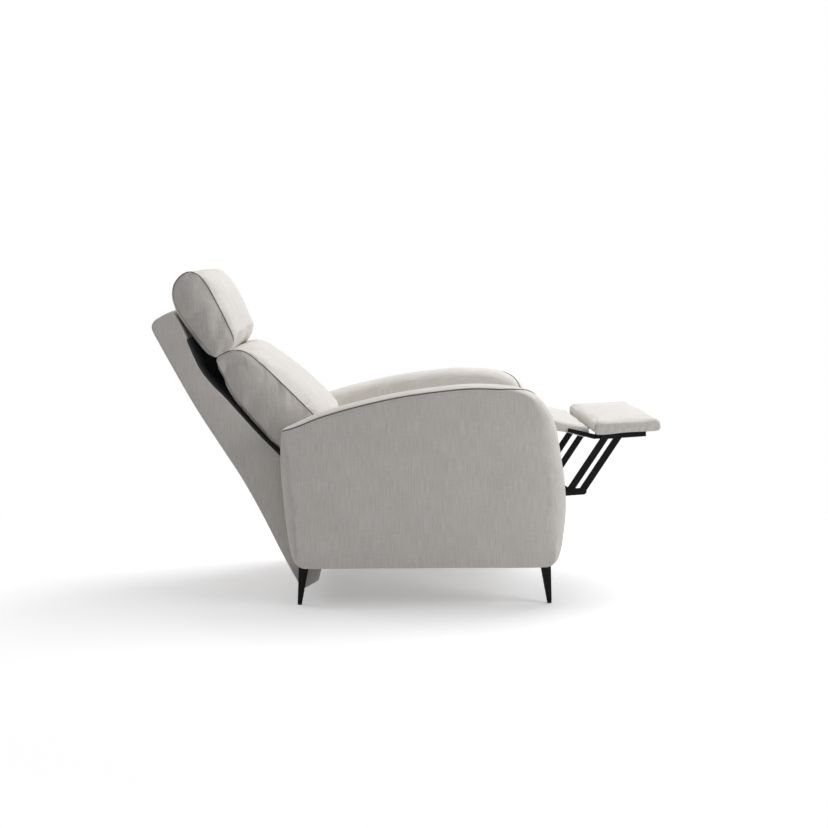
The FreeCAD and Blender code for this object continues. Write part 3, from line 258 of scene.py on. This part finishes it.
def resampled(path, count):
    """Points spaced evenly along a closed path."""
    whole = np.vstack([path, path[:1]])
    run = np.concatenate([[0], np.cumsum(np.linalg.norm(np.diff(whole, axis=0), axis=1))])
    wanted = np.linspace(0, run[-1], count, endpoint=False)
    columns = [np.interp(wanted, run, whole[:, axis]) for axis in range(whole.shape[1])]
    return np.column_stack(columns)


def outward(loop):
    """Unit normals of a closed loop that runs anticlockwise."""
    along = np.roll(loop, -1, axis=0) - np.roll(loop, 1, axis=0)
    normal = np.column_stack([along[:, 1], -along[:, 0]])
    return normal / np.linalg.norm(normal, axis=1)[:, None]


def anticlockwise(loop):
    """The loop, turned round if it runs clockwise."""
    area = np.sum(loop[:, 0] * np.roll(loop[:, 1], -1) - np.roll(loop[:, 0], -1) * loop[:, 1])
    return loop if area > 0 else loop[::-1].copy()


def in_back(point):
    """Chair millimetres of a place in the back's frame: depth forward and level up."""
    depth, level = point
    sine, cosine = math.sin(BACK_ANGLE), math.cos(BACK_ANGLE)
    return (
        BACK_HEEL[0] + depth * cosine - level * sine,
        BACK_HEEL[1] + depth * sine + level * cosine,
    )


def in_chair(point):
    """Chair millimetres of a place measured from the middle of the arms."""
    return point[0] + MIDDLE_X, point[1]


# Meshes

def lofted(name, stations, bulge, columns=10):
    """Closed soft form through outlines across the chair, with rounded panels at both ends.

    The warp of the cloth runs round the outlines, and up the end panels.
    """
    mesh = bpy.data.meshes.new(name)
    form = bmesh.new()
    cloth = form.loops.layers.uv.new("cloth")
    count = len(stations[0][0])
    rows = []
    for outline, sideways in stations:
        rows.append([form.verts.new((x * MM, sideways * MM, z * MM)) for x, z in outline])
    runs = []
    for outline, _ in stations:
        steps = np.linalg.norm(np.roll(outline, -1, axis=0) - outline, axis=1)
        runs.append(np.concatenate([[0], np.cumsum(steps)]) * MM)
    for row in range(len(rows) - 1):
        for index in range(count):
            following = (index + 1) % count
            corners = [rows[row][index], rows[row][following]]
            corners += [rows[row + 1][following], rows[row + 1][index]]
            face = form.faces.new(corners)
            places = (
                (stations[row][1] * MM, runs[row][index]),
                (stations[row][1] * MM, runs[row][index + 1]),
                (stations[row + 1][1] * MM, runs[row + 1][index + 1]),
                (stations[row + 1][1] * MM, runs[row + 1][index]),
            )
            for loop, place in zip(face.loops, places):
                loop[cloth].uv = place
    for row, turn in ((0, -1), (len(rows) - 1, 1)):
        turn *= np.sign(stations[-1][1] - stations[0][1])
        end_panel(form, cloth, rows[row], turn * bulge * MM, columns)
    bmesh.ops.recalc_face_normals(form, faces=form.faces)
    form.to_mesh(mesh)
    form.free()
    piece = bpy.data.objects.new(name, mesh)
    bpy.context.scene.collection.objects.link(piece)
    for face in mesh.polygons:
        face.use_smooth = True
    seam = piece.vertex_groups.new(name="seam")
    last = (len(rows) - 1) * count
    seam.add(list(range(count)) + list(range(last, last + count)), 1.0, "REPLACE")
    return piece


def end_panel(form, cloth, edge, bulge, columns):
    """Panel inside one end outline, laid in lines across it, that swells toward its middle."""
    half = len(edge) // 2
    lines = []
    for index in range(1, half):
        near, far = edge[index], edge[-index]
        swell = bulge * math.sin(math.pi * index / half)
        line = [near]
        for step in range(1, columns):
            share = step / columns
            rise = Vector((0, swell * 4 * share * (1 - share), 0))
            line.append(form.verts.new(near.co.lerp(far.co, share) + rise))
        lines.append(line + [far])
    panels = []
    for first, second in zip(lines, lines[1:]):
        for step in range(columns):
            panels.append((first[step], second[step], second[step + 1], first[step + 1]))
    for tip, line in ((edge[0], lines[0]), (edge[half], lines[-1])):
        for step in range(columns):
            panels.append((tip, line[step], line[step + 1]))
    for corners in panels:
        lay_flat(form.faces.new(corners), cloth)


def lay_flat(face, cloth):
    """Cloth coordinates of an end panel: along and up."""
    for loop in face.loops:
        loop[cloth].uv = (loop.vert.co.x, loop.vert.co.z)


def shares_across(count):
    """Shares of a half width, from -1 to 1, closer together near the sides."""
    return np.sin(np.linspace(-math.pi / 2, math.pi / 2, count))


def between(seam, middle, half_width):
    """Outlines across a cushion, from its side seams to a fuller one in the middle."""
    made = []
    for share in shares_across(STATIONS):
        fullness = 1 - abs(share) ** 2.4
        made.append((seam + (middle - seam) * fullness, share * half_width))
    return made


CLOTH_STEPS = 20


def filled(piece, pressure, cap, slack=0.015):
    """Swell a cushion's cover between its seams, and keep the result in its mesh."""
    scene = bpy.context.scene
    cover = piece.modifiers.new("cover", "CLOTH")
    settings = cover.settings
    settings.quality = 6
    settings.mass = 0.25
    settings.tension_stiffness = 20
    settings.compression_stiffness = 20
    settings.shear_stiffness = 8
    settings.bending_stiffness = 0.6
    settings.shrink_min = -slack
    settings.use_pressure = True
    settings.uniform_pressure_force = pressure
    settings.vertex_group_mass = "seam"
    settings.effector_weights.gravity = 0
    cover.collision_settings.use_collision = False
    cover.point_cache.frame_start = 1
    cover.point_cache.frame_end = CLOTH_STEPS
    for step in range(1, CLOTH_STEPS + 1):
        scene.frame_set(step)
    shaped = piece.evaluated_get(bpy.context.evaluated_depsgraph_get())
    size = len(piece.data.vertices)
    ends = np.empty(size * 3)
    shaped.data.vertices.foreach_get("co", ends)
    starts = np.empty(size * 3)
    piece.data.vertices.foreach_get("co", starts)
    move = (ends - starts).reshape(-1, 3)
    reach = np.linalg.norm(move, axis=1)
    held = np.minimum(1.0, cap / np.maximum(reach, 1e-9))
    piece.modifiers.remove(cover)
    piece.data.vertices.foreach_set("co", starts + (move * held[:, None]).ravel())
    piece.data.update()
    scene.frame_set(1)


def finished(piece, body, node):
    """Cloth, last smoothing, and what the piece rides on and stands for."""
    piece.data.materials.append(FABRIC)
    smooth = piece.modifiers.new("smooth", "SUBSURF")
    smooth.levels = 1
    smooth.render_levels = 1
    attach(piece, body)
    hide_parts(node)


def welt(name, points, body, radius, paint=PIPING_AND_GROOVE_SHADE):
    """Piping cord or sewn line along a seam."""
    curve = bpy.data.curves.new(name, "CURVE")
    curve.dimensions = "3D"
    curve.bevel_depth = radius * MM
    curve.bevel_resolution = 3
    curve.use_fill_caps = True
    line = curve.splines.new("NURBS")
    line.points.add(len(points) - 1)
    for point, place in zip(line.points, points):
        point.co = (*place, 1)
    line.order_u = 3
    line.use_endpoint_u = True
    piece = bpy.data.objects.new(name, curve)
    bpy.context.scene.collection.objects.link(piece)
    curve.materials.append(paint)
    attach(piece, body)


SIDES = ((-1, "right"), (1, "left"))
# How far a cord stands out of its seam
OUTSET = 0.5


def seam_points(loop, side, half_width):
    """Places along a cushion's seam on one side, just outside it."""
    sideways = side * half_width + side * OUTSET
    return [
        ((x + nx * OUTSET) * MM, sideways * MM, (z + nz * OUTSET) * MM)
        for (x, z), (nx, nz) in zip(loop, outward(loop))
    ]


def pipe(name, loop, half_width, body, ahead, down):
    """Cord round the front of a cushion's side seams, and a sewn line round the rear.

    The underside lies on what is below it and has neither. Two directions say what is front and
    what is underside.
    """
    normal = outward(loop)
    shown = normal @ np.array(down) < 0.45
    front = shown & (normal @ np.array(ahead) > -0.35)
    start = int(np.argmax(front & ~np.roll(front, 1)))
    cord = int(front.sum())
    whole = cord + int((shown & ~front).sum())
    for side, label in SIDES:
        places = seam_points(np.roll(loop, -start, axis=0), side, half_width)
        welt("%s_piping_%s" % (name, label), places[:cord], body, CUSHION_CORD)
        welt("%s_seam_%s" % (name, label), places[cord - 1:whole], body, SEWN_LINE, paint=SEAM)


# Arms

# Distance of an arm's middle from the chair's, and half its thickness
ARM_MIDDLE = 310
ARM_HALF = 46
# Where the seam leaves the outer edge: places along the arm, and angles round its top there
SEAM_TURN = ((217, 267, 286, 320, 350, 375), (-80, -53, -28, 11, 52, 74))
# Level at the arm's front at which the seam ends
SEAM_END = 145


def arm_outline(angle):
    """Arm outline at a station across its thickness, from the outer side to the inner one."""
    drop = 1 - math.cos(angle)
    front = -58 * drop
    rear = 36 * drop
    top = 13 - (13 if angle < 0 else 34) * drop
    points = [
        (-404 + rear * 0.1, 519 + top * 0.1),
        (-409 + rear * 0.35, 490),
        (-411 + rear * 0.75, 450),
        (-410 + rear, 400),
        (-404 + rear, 320),
        (-395 + rear, 235),
        (-385 + rear * 0.7, 168),
        (-375 + rear * 0.4, 136),
        (-359 + rear * 0.25, 123),
        (-330, 121.5),
        (-160, 121.5),
        (0, 121.5),
        (170, 121.5),
        (340 + front * 0.1, 121.5),
        (374 + front * 0.15, 124.5),
        (392 + front * 0.25, 139),
        (403 + front * 0.45, 170),
        (409 + front * 0.7, 207),
        (415 + front, 270),
        (414.5 + front, 322),
        (409 + front, 380),
        (399 + front * 0.95, 442),
        (386 + front * 0.85, 515),
        (374 + front * 0.75, 552 + top * 0.15),
        (358.5 + front * 0.65, 577 + top * 0.35),
        (326 + front * 0.4, 608 + top * 0.7),
        (274 + front * 0.15, 627.5 + top),
        (217, 635 + top),
        (131.5, 637 + top),
        (46, 629.4 + top),
        (-67, 613.5 + top),
        (-181, 588.6 + top),
        (-294, 556 + top * 1.1),
        (-351 + rear * 0.1, 535 + top * 0.8),
        (-385 + rear * 0.1, 524 + top * 0.45),
    ]
    return [in_chair(point) for point in points]


def make_arm(name, side):
    """Upholstered arm, with piping along the outer edge of its top and down its front."""
    stations = []
    for angle in np.radians(np.linspace(-90, 90, STATIONS)):
        loop = anticlockwise(loop_through(arm_outline(angle), ARM_RING))
        stations.append((loop, side * (ARM_MIDDLE - ARM_HALF * math.sin(angle))))
    piece = lofted("arm_padding_" + name, stations, 3, columns=24)
    finished(piece, "base", "arm_cover_" + name)
    welt("arm_piping_" + name, arm_seam(stations), "base", ARM_CORD)


def arm_seam(stations):
    """Seam along the outer edge of the arm's top, over its front end and down its inner edge."""
    loops = np.array([loop for loop, _ in stations])
    sides = np.array([sideways for _, sideways in stations])
    middle = loops[len(loops) // 2]
    places = []
    for index in range(len(middle), 0, -1):
        point = index % len(middle)
        x, z = middle[point]
        if x > 0 and z < SEAM_END:
            break
        for _ in range(20):
            row = (np.interp(x - MIDDLE_X, *SEAM_TURN) + 90) / 180 * (len(loops) - 1)
            low = int(row)
            high = low + 1
            place = mix(loops[low, point], loops[high, point], low, high, row)
            x = (x + place[0]) / 2
        sideways = mix(sides[low], sides[high], low, high, row)
        places.append((place[0] * MM, sideways * MM, place[1] * MM))
    return places


for arm_side, arm_name in SIDES:
    make_arm(arm_name, arm_side)


# Back

def back_pair(points):
    """Matching outlines at a cushion's seam and in its middle, drawn in the back's frame."""
    pair = loop_through([(*in_back(seam), *in_back(middle)) for seam, middle in points], RING)
    return pair[:, :2], pair[:, 2:]


def in_back_direction(forward, up):
    """Direction in the chair's frame of one in the back's frame."""
    sine, cosine = math.sin(BACK_ANGLE), math.cos(BACK_ANGLE)
    return forward * cosine - up * sine, forward * sine + up * cosine


# Levels of the back, in metres, between which the shell's front face is painted black: painted
# shade behind the cushions
PAINTED_SHADE_LEVELS = (0.375, 0.8)


def make_shell():
    """Upholstered outer back with soft side edges, its front face behind the cushions painted
    black as painted shade.
    """
    stations = []
    for angle in np.radians(np.linspace(-90, 90, STATIONS)):
        inset = 6 * (1 - math.cos(angle))
        points = [
            (-3 + inset, 20),
            (-2 + inset, 120),
            (4 + inset, 250),
            (5 + inset, 364),
            (-2 + inset, 480),
            (-10 + inset, 614),
            (-11 + inset, 740),
            (-10 + inset, 827),
            (-9 + inset, 868),
            (-6 + inset, 884 - inset * 0.5),
            (2 + inset, 894 - inset),
            (16, 898 - inset),
            (40, 899 - inset),
            (61, 898 - inset),
            (69, 894 - inset),
            (73, 885 - inset),
            (75, 850),
            (73, 820),
            (65, 750),
            (63, 702),
            (71, 650),
            (84, 606),
            (101, 533),
            (118, 461),
            (133, 408),
            (143, 370),
            (144, 340),
            (134, 300),
            (112, 240),
            (84, 120),
            (67, 40),
            (63, 4),
            (61, -4 + inset * 0.5),
            (55, -6 + inset * 0.5),
            (30, -6 + inset * 0.5),
            (5 + inset, -6 + inset * 0.5),
            (-1 + inset, -3 + inset * 0.5),
        ]
        loop = anticlockwise(loop_through([in_back(point) for point in points], SHELL_RING))
        stations.append((loop, SHELL_HALF * math.sin(angle)))
    piece = lofted("back_shell_padding", stations, 2, columns=8)
    finished(piece, "back", "back_shell")
    piece.data.materials.append(PAINTED_SHADE_CLOTH)
    heel = Vector((BACK_HEEL[0], 0, BACK_HEEL[1])) * MM
    forward, upward = (
        Vector((x, 0, z)) for x, z in (in_back_direction(1, 0), in_back_direction(0, 1))
    )
    # Forward faces between these levels get the black painted shade
    for face in piece.data.polygons:
        level = (face.center - heel).dot(upward)
        if face.normal.dot(forward) > 0.6 and PAINTED_SHADE_LEVELS[0] < level < PAINTED_SHADE_LEVELS[1]:
            face.material_index = 1


make_shell()


def make_back_cushion():
    """Lumbar and shoulder cushion, piped along its side seams."""
    seam, middle = back_pair(
        [
            ((112, 660), (107, 660)),
            ((111, 588), (104, 587)),
            ((124, 516), (117, 514)),
            ((144, 432), (136, 430)),
            ((156, 390), (148, 386)),
            ((174, 365), (168, 356)),
            ((212, 352), (208, 342)),
            ((258, 346), (266, 334)),
            ((286, 356), (310, 348)),
            ((292, 390), (330, 389)),
            ((283, 433), (326, 437)),
            ((267, 491), (309, 496)),
            ((250, 549), (287, 558)),
            ((224, 633), (252, 629)),
            ((198, 690), (219, 685)),
            ((172, 709), (183, 713)),
            ((146, 714), (147, 714)),
            ((118, 711), (116, 712)),
        ]
    )
    piece = lofted("back_cushion_cover", between(seam, middle, CUSHION_HALF), 12)
    filled(piece, 5.0, 0.010, slack=0.03)
    finished(piece, "back", "back_cushion")
    ahead, down = in_back_direction(0.9, 0.44), in_back_direction(0, -1)
    pipe("back_cushion", seam, CUSHION_HALF, "back", ahead, down)


make_back_cushion()


def make_head_cushion():
    """Pillow above the back cushion, piped along its side seams."""
    seam, middle = back_pair(
        [
            ((116, 717), (113, 714)),
            ((144, 716), (144, 713)),
            ((170, 718), (180, 713)),
            ((187, 736), (212, 729)),
            ((194, 786), (223, 784)),
            ((197, 846), (229, 848)),
            ((197, 913), (225, 912)),
            ((188, 950), (208, 954)),
            ((170, 967), (178, 976)),
            ((144, 968), (146, 979)),
            ((114, 953), (112, 958)),
            ((97, 926), (93, 929)),
            ((90, 887), (82, 887)),
            ((98, 808), (82, 802)),
            ((108, 749), (90, 742)),
        ]
    )
    piece = lofted("head_cushion_cover", between(seam, middle, CUSHION_HALF), 14)
    filled(piece, 5.0, 0.009, slack=0.03)
    finished(piece, "headrest", "head_cushion")
    ahead, down = in_back_direction(0.8, 0.6), in_back_direction(0, -1)
    pipe("head_cushion", seam, CUSHION_HALF, "headrest", ahead, down)


make_head_cushion()


# Seat

def make_seat():
    """Seat cushion between the arms, with a rounded front.

    Each point of the seam has the rise from there to the middle of the cushion.
    """
    points = [
        ((-250, 386), 0),
        ((-100, 386), 0),
        ((100, 386), 0),
        ((290, 387), 0),
        ((326, 400), 1),
        ((335, 428), 3),
        ((326, 460), 6),
        ((296, 473), 8),
        ((150, 464), 9),
        ((0, 452), 9),
        ((-150, 440), 9),
        ((-225, 434), 5),
        ((-250, 418), 0),
    ]
    pairs = [(*in_chair((x, z)), *in_chair((x, z + rise))) for (x, z), rise in points]
    pair = loop_through(pairs, RING)
    seam, middle = pair[:, :2], pair[:, 2:]
    piece = lofted("seat_cushion_cover", between(seam, middle, SEAT_HALF), 2)
    filled(piece, 2.0, 0.010)
    finished(piece, "base", "seat_cushion")
    pipe("seat", seam, SEAT_HALF, "base", (0.6, 0.8), (0, -1))


make_seat()


# Footrest

# Pin that both pads hang on
REAR_UPPER_PIN = (579.147, 488.315)
# Radius of the pads' side edges
PAD_EDGE = 6


def at_pin(point, angle):
    """Chair millimetres of a place along a direction through the rear upper pin."""
    along, up = point
    sine, cosine = math.sin(angle), math.cos(angle)
    return (
        REAR_UPPER_PIN[0] + along * cosine - up * sine,
        REAR_UPPER_PIN[1] + along * sine + up * cosine,
    )


def make_pad(name, node, body, angle, heel, toe, bottom, tops, half, crown):
    """Boxed upholstered pad with soft edges, a sewn corner at its heel and a crowned top."""
    tilt = math.radians(angle)
    stations = []
    for share in shares_across(PAD_STATIONS):
        past = max(0.0, abs(share) * half - (half - PAD_EDGE)) / PAD_EDGE
        inset = PAD_EDGE * (1 - math.sqrt(1 - min(past, 1.0) ** 2))
        rise = crown * (1 - abs(share) ** 3)
        back_top, front_top = (level - inset for level in tops)
        length = toe - heel
        points = [
            (heel + inset * 0.6 + 4, bottom),
            (heel + length / 2, bottom),
            (toe - inset * 0.6 - 4, bottom),
            (toe - inset * 0.6 - 1, bottom + 2),
            (toe - inset * 0.6, (bottom + front_top) / 2),
            (toe - inset * 0.6 - 2, front_top - 5),
            (toe - inset * 0.6 - 8, front_top),
            (heel + length * 0.75, back_top * 0.25 + front_top * 0.75 + rise * 0.8),
            (heel + length * 0.5, back_top * 0.5 + front_top * 0.5 + rise),
            (heel + length * 0.25, back_top * 0.75 + front_top * 0.25 + rise * 0.8),
            (heel + inset * 0.6 + 8, back_top),
            (heel + inset * 0.6 + 2, back_top - 5),
            (heel + inset * 0.6, (bottom + back_top) / 2),
            (heel + inset * 0.6 + 1, bottom + 2),
        ]
        loop = anticlockwise(loop_through([at_pin(point, tilt) for point in points], RING))
        stations.append((loop, share * half))
    piece = lofted(name, stations, 1.5)
    filled(piece, 1.5, 0.003, slack=0.004)
    finished(piece, body, node)
    levels = np.linspace(bottom + 1, tops[0] - 7, 8)
    edge = [at_pin((heel + 2.5, level), tilt) for level in levels]
    for side, label in SIDES:
        places = [(x * MM, side * (half - 2) * MM, z * MM) for x, z in edge]
        welt("%s_corner_%s" % (node, label), places, body, CORNER_LINE, paint=SEAM)


make_pad(
    "footrest_pad_cover", "footrest_pad", "footrest",
    angle=3.8, heel=-33, toe=163, bottom=9, tops=(44, 40.5), half=257, crown=5,
)
make_pad(
    "middle_pad_cover", "middle_pad", "middle_rest",
    angle=-13, heel=-172, toe=-46, bottom=-15, tops=(10, 11.5), half=230, crown=4,
)


# CAD pieces that stay in view: the links' studs are black, and the seat's rails are covered

SLOT_PAINT = {
    "plywood": PLYWOOD,
    "webbing": STRAPS,
    "glide": GLIDE,
    "zinc": ZINC,
    "black_steel": BLACK_STEEL,
}
for part in frame["record"]["subparts"]:
    paint = SLOT_PAINT.get(part["material_slot"])
    if paint is None:
        continue
    if part["node"].endswith("_studs"):
        paint = BLACK_STEEL
    if part["node"].startswith("seat_") and paint is PLYWOOD:
        paint = COVERED
    coats = frame["nodes"][part["node"]].data.materials
    coats.clear()
    coats.append(paint)


# Studio

WHITE = (1, 1, 1, 1)
# The floor, in metres: half its side, and the distances between which its shadow fades to white
FLOOR_REACH = 30
SHADOW_FADE = (0.9, 2.0)


def seen_directly(tree):
    """1 for rays from the camera and in reflections, and 0 for those that carry light."""
    rays = tree.nodes.new("ShaderNodeLightPath")
    seen = add(tree, "ShaderNodeMath", operation="MAXIMUM")
    tree.links.new(rays.outputs["Is Camera Ray"], seen.inputs[0])
    tree.links.new(rays.outputs["Is Glossy Ray"], seen.inputs[1])
    return seen.outputs[0]


def picked(tree, factor, first, second):
    """One of two shaders, or a blend of them, by a factor."""
    node = tree.nodes.new("ShaderNodeMixShader")
    tree.links.new(factor, node.inputs["Fac"])
    tree.links.new(first, node.inputs[1])
    tree.links.new(second, node.inputs[2])
    return node.outputs["Shader"]


def make_floor():
    """Pale seamless floor, white to the camera, that keeps the chair's soft shadow."""
    mesh = bpy.data.meshes.new("floor")
    corners = [
        (x * FLOOR_REACH, y * FLOOR_REACH, 0) for x, y in ((-1, -1), (1, -1), (1, 1), (-1, 1))
    ]
    mesh.from_pydata(corners, [], [(0, 1, 2, 3)])
    floor = bpy.data.objects.new("floor", mesh)
    bpy.context.scene.collection.objects.link(floor)
    made, tree, shader = material("studio_floor")
    shader.inputs["Base Color"].default_value = (0.74, 0.74, 0.75, 1)
    shader.inputs["Roughness"].default_value = 0.9
    shader.inputs["Specular IOR Level"].default_value = 0.0
    glow = add(tree, "ShaderNodeEmission", Color=WHITE, Strength=0.27)
    paper = add(tree, "ShaderNodeBsdfDiffuse", Color=(0.98, 0.98, 0.99, 1))
    lit = tree.nodes.new("ShaderNodeAddShader")
    tree.links.new(paper.outputs["BSDF"], lit.inputs[0])
    tree.links.new(glow.outputs["Emission"], lit.inputs[1])
    white = add(tree, "ShaderNodeEmission", Color=WHITE, Strength=1.0)
    place = tree.nodes.new("ShaderNodeTexCoord")
    away = add(tree, "ShaderNodeVectorMath", operation="LENGTH")
    tree.links.new(place.outputs["Object"], away.inputs[0])
    fade = add(tree, "ShaderNodeMapRange", interpolation_type="SMOOTHSTEP")
    fade.inputs["From Min"].default_value, fade.inputs["From Max"].default_value = SHADOW_FADE
    tree.links.new(away.outputs["Value"], fade.inputs["Value"])
    faded = fade.outputs["Result"]
    seamless = picked(tree, faded, lit.outputs["Shader"], white.outputs["Emission"])
    shown = picked(tree, seen_directly(tree), shader.outputs["BSDF"], seamless)
    tree.links.new(shown, tree.nodes["Material Output"].inputs["Surface"])
    mesh.materials.append(made)


def make_light(name, place, target, size, power):
    """Soft square lamp aimed at a point."""
    lamp = bpy.data.lights.new(name, "AREA")
    lamp.size = size
    lamp.energy = power
    holder = bpy.data.objects.new(name, lamp)
    holder.location = place
    holder.rotation_euler = (Vector(target) - Vector(place)).to_track_quat("-Z", "Y").to_euler()
    bpy.context.scene.collection.objects.link(holder)


def make_world():
    """Even fill light, with a white backdrop for the camera."""
    world = bpy.data.worlds.new("studio")
    bpy.context.scene.world = world
    world.use_nodes = True
    tree = world.node_tree
    fill = tree.nodes["Background"]
    fill.inputs["Strength"].default_value = 0.235
    fill.inputs["Color"].default_value = (1.0, 0.99, 0.98, 1)
    backdrop = add(tree, "ShaderNodeBackground", Color=WHITE, Strength=1.0)
    light, white = fill.outputs["Background"], backdrop.outputs["Background"]
    shown = picked(tree, seen_directly(tree), light, white)
    tree.links.new(shown, tree.nodes["World Output"].inputs["Surface"])


# Focal length and picture width in pixels, and sensor width in millimetres
FOCAL_PIXELS = 1326
PICTURE_PIXELS = 828
SENSOR = 36


def make_camera():
    """Camera at the photograph's place, looking slightly forward along the chair and down."""
    yaw, pitch = math.radians(1.55), math.radians(6.28)
    lens = bpy.data.cameras.new("camera")
    lens.sensor_width = SENSOR
    lens.lens = SENSOR * FOCAL_PIXELS / PICTURE_PIXELS
    lens.clip_end = 100
    camera = bpy.data.objects.new("camera", lens)
    camera.location = (-0.0888, -4.0992, 0.9804)
    level = math.cos(pitch)
    aim = Vector((math.sin(yaw) * level, math.cos(yaw) * level, -math.sin(pitch)))
    camera.rotation_euler = aim.to_track_quat("-Z", "Y").to_euler()
    bpy.context.scene.collection.objects.link(camera)
    bpy.context.scene.camera = camera


make_floor()
make_light("key", (1.5, 1.2, 3.1), (0.0, 0.0, 0.5), 2.4, 68)
make_light("top", (-0.4, 0.5, 3.4), (0.0, 0.0, 0.4), 3.0, 36)
make_light("front", (3.0, -1.4, 1.5), (0.2, 0.0, 0.4), 1.6, 37)
make_light("rim", (-3.0, 0.7, 1.6), (-0.2, 0.0, 0.4), 1.6, 16)
make_world()
make_camera()
bpy.context.scene.view_settings.view_transform = "Standard"
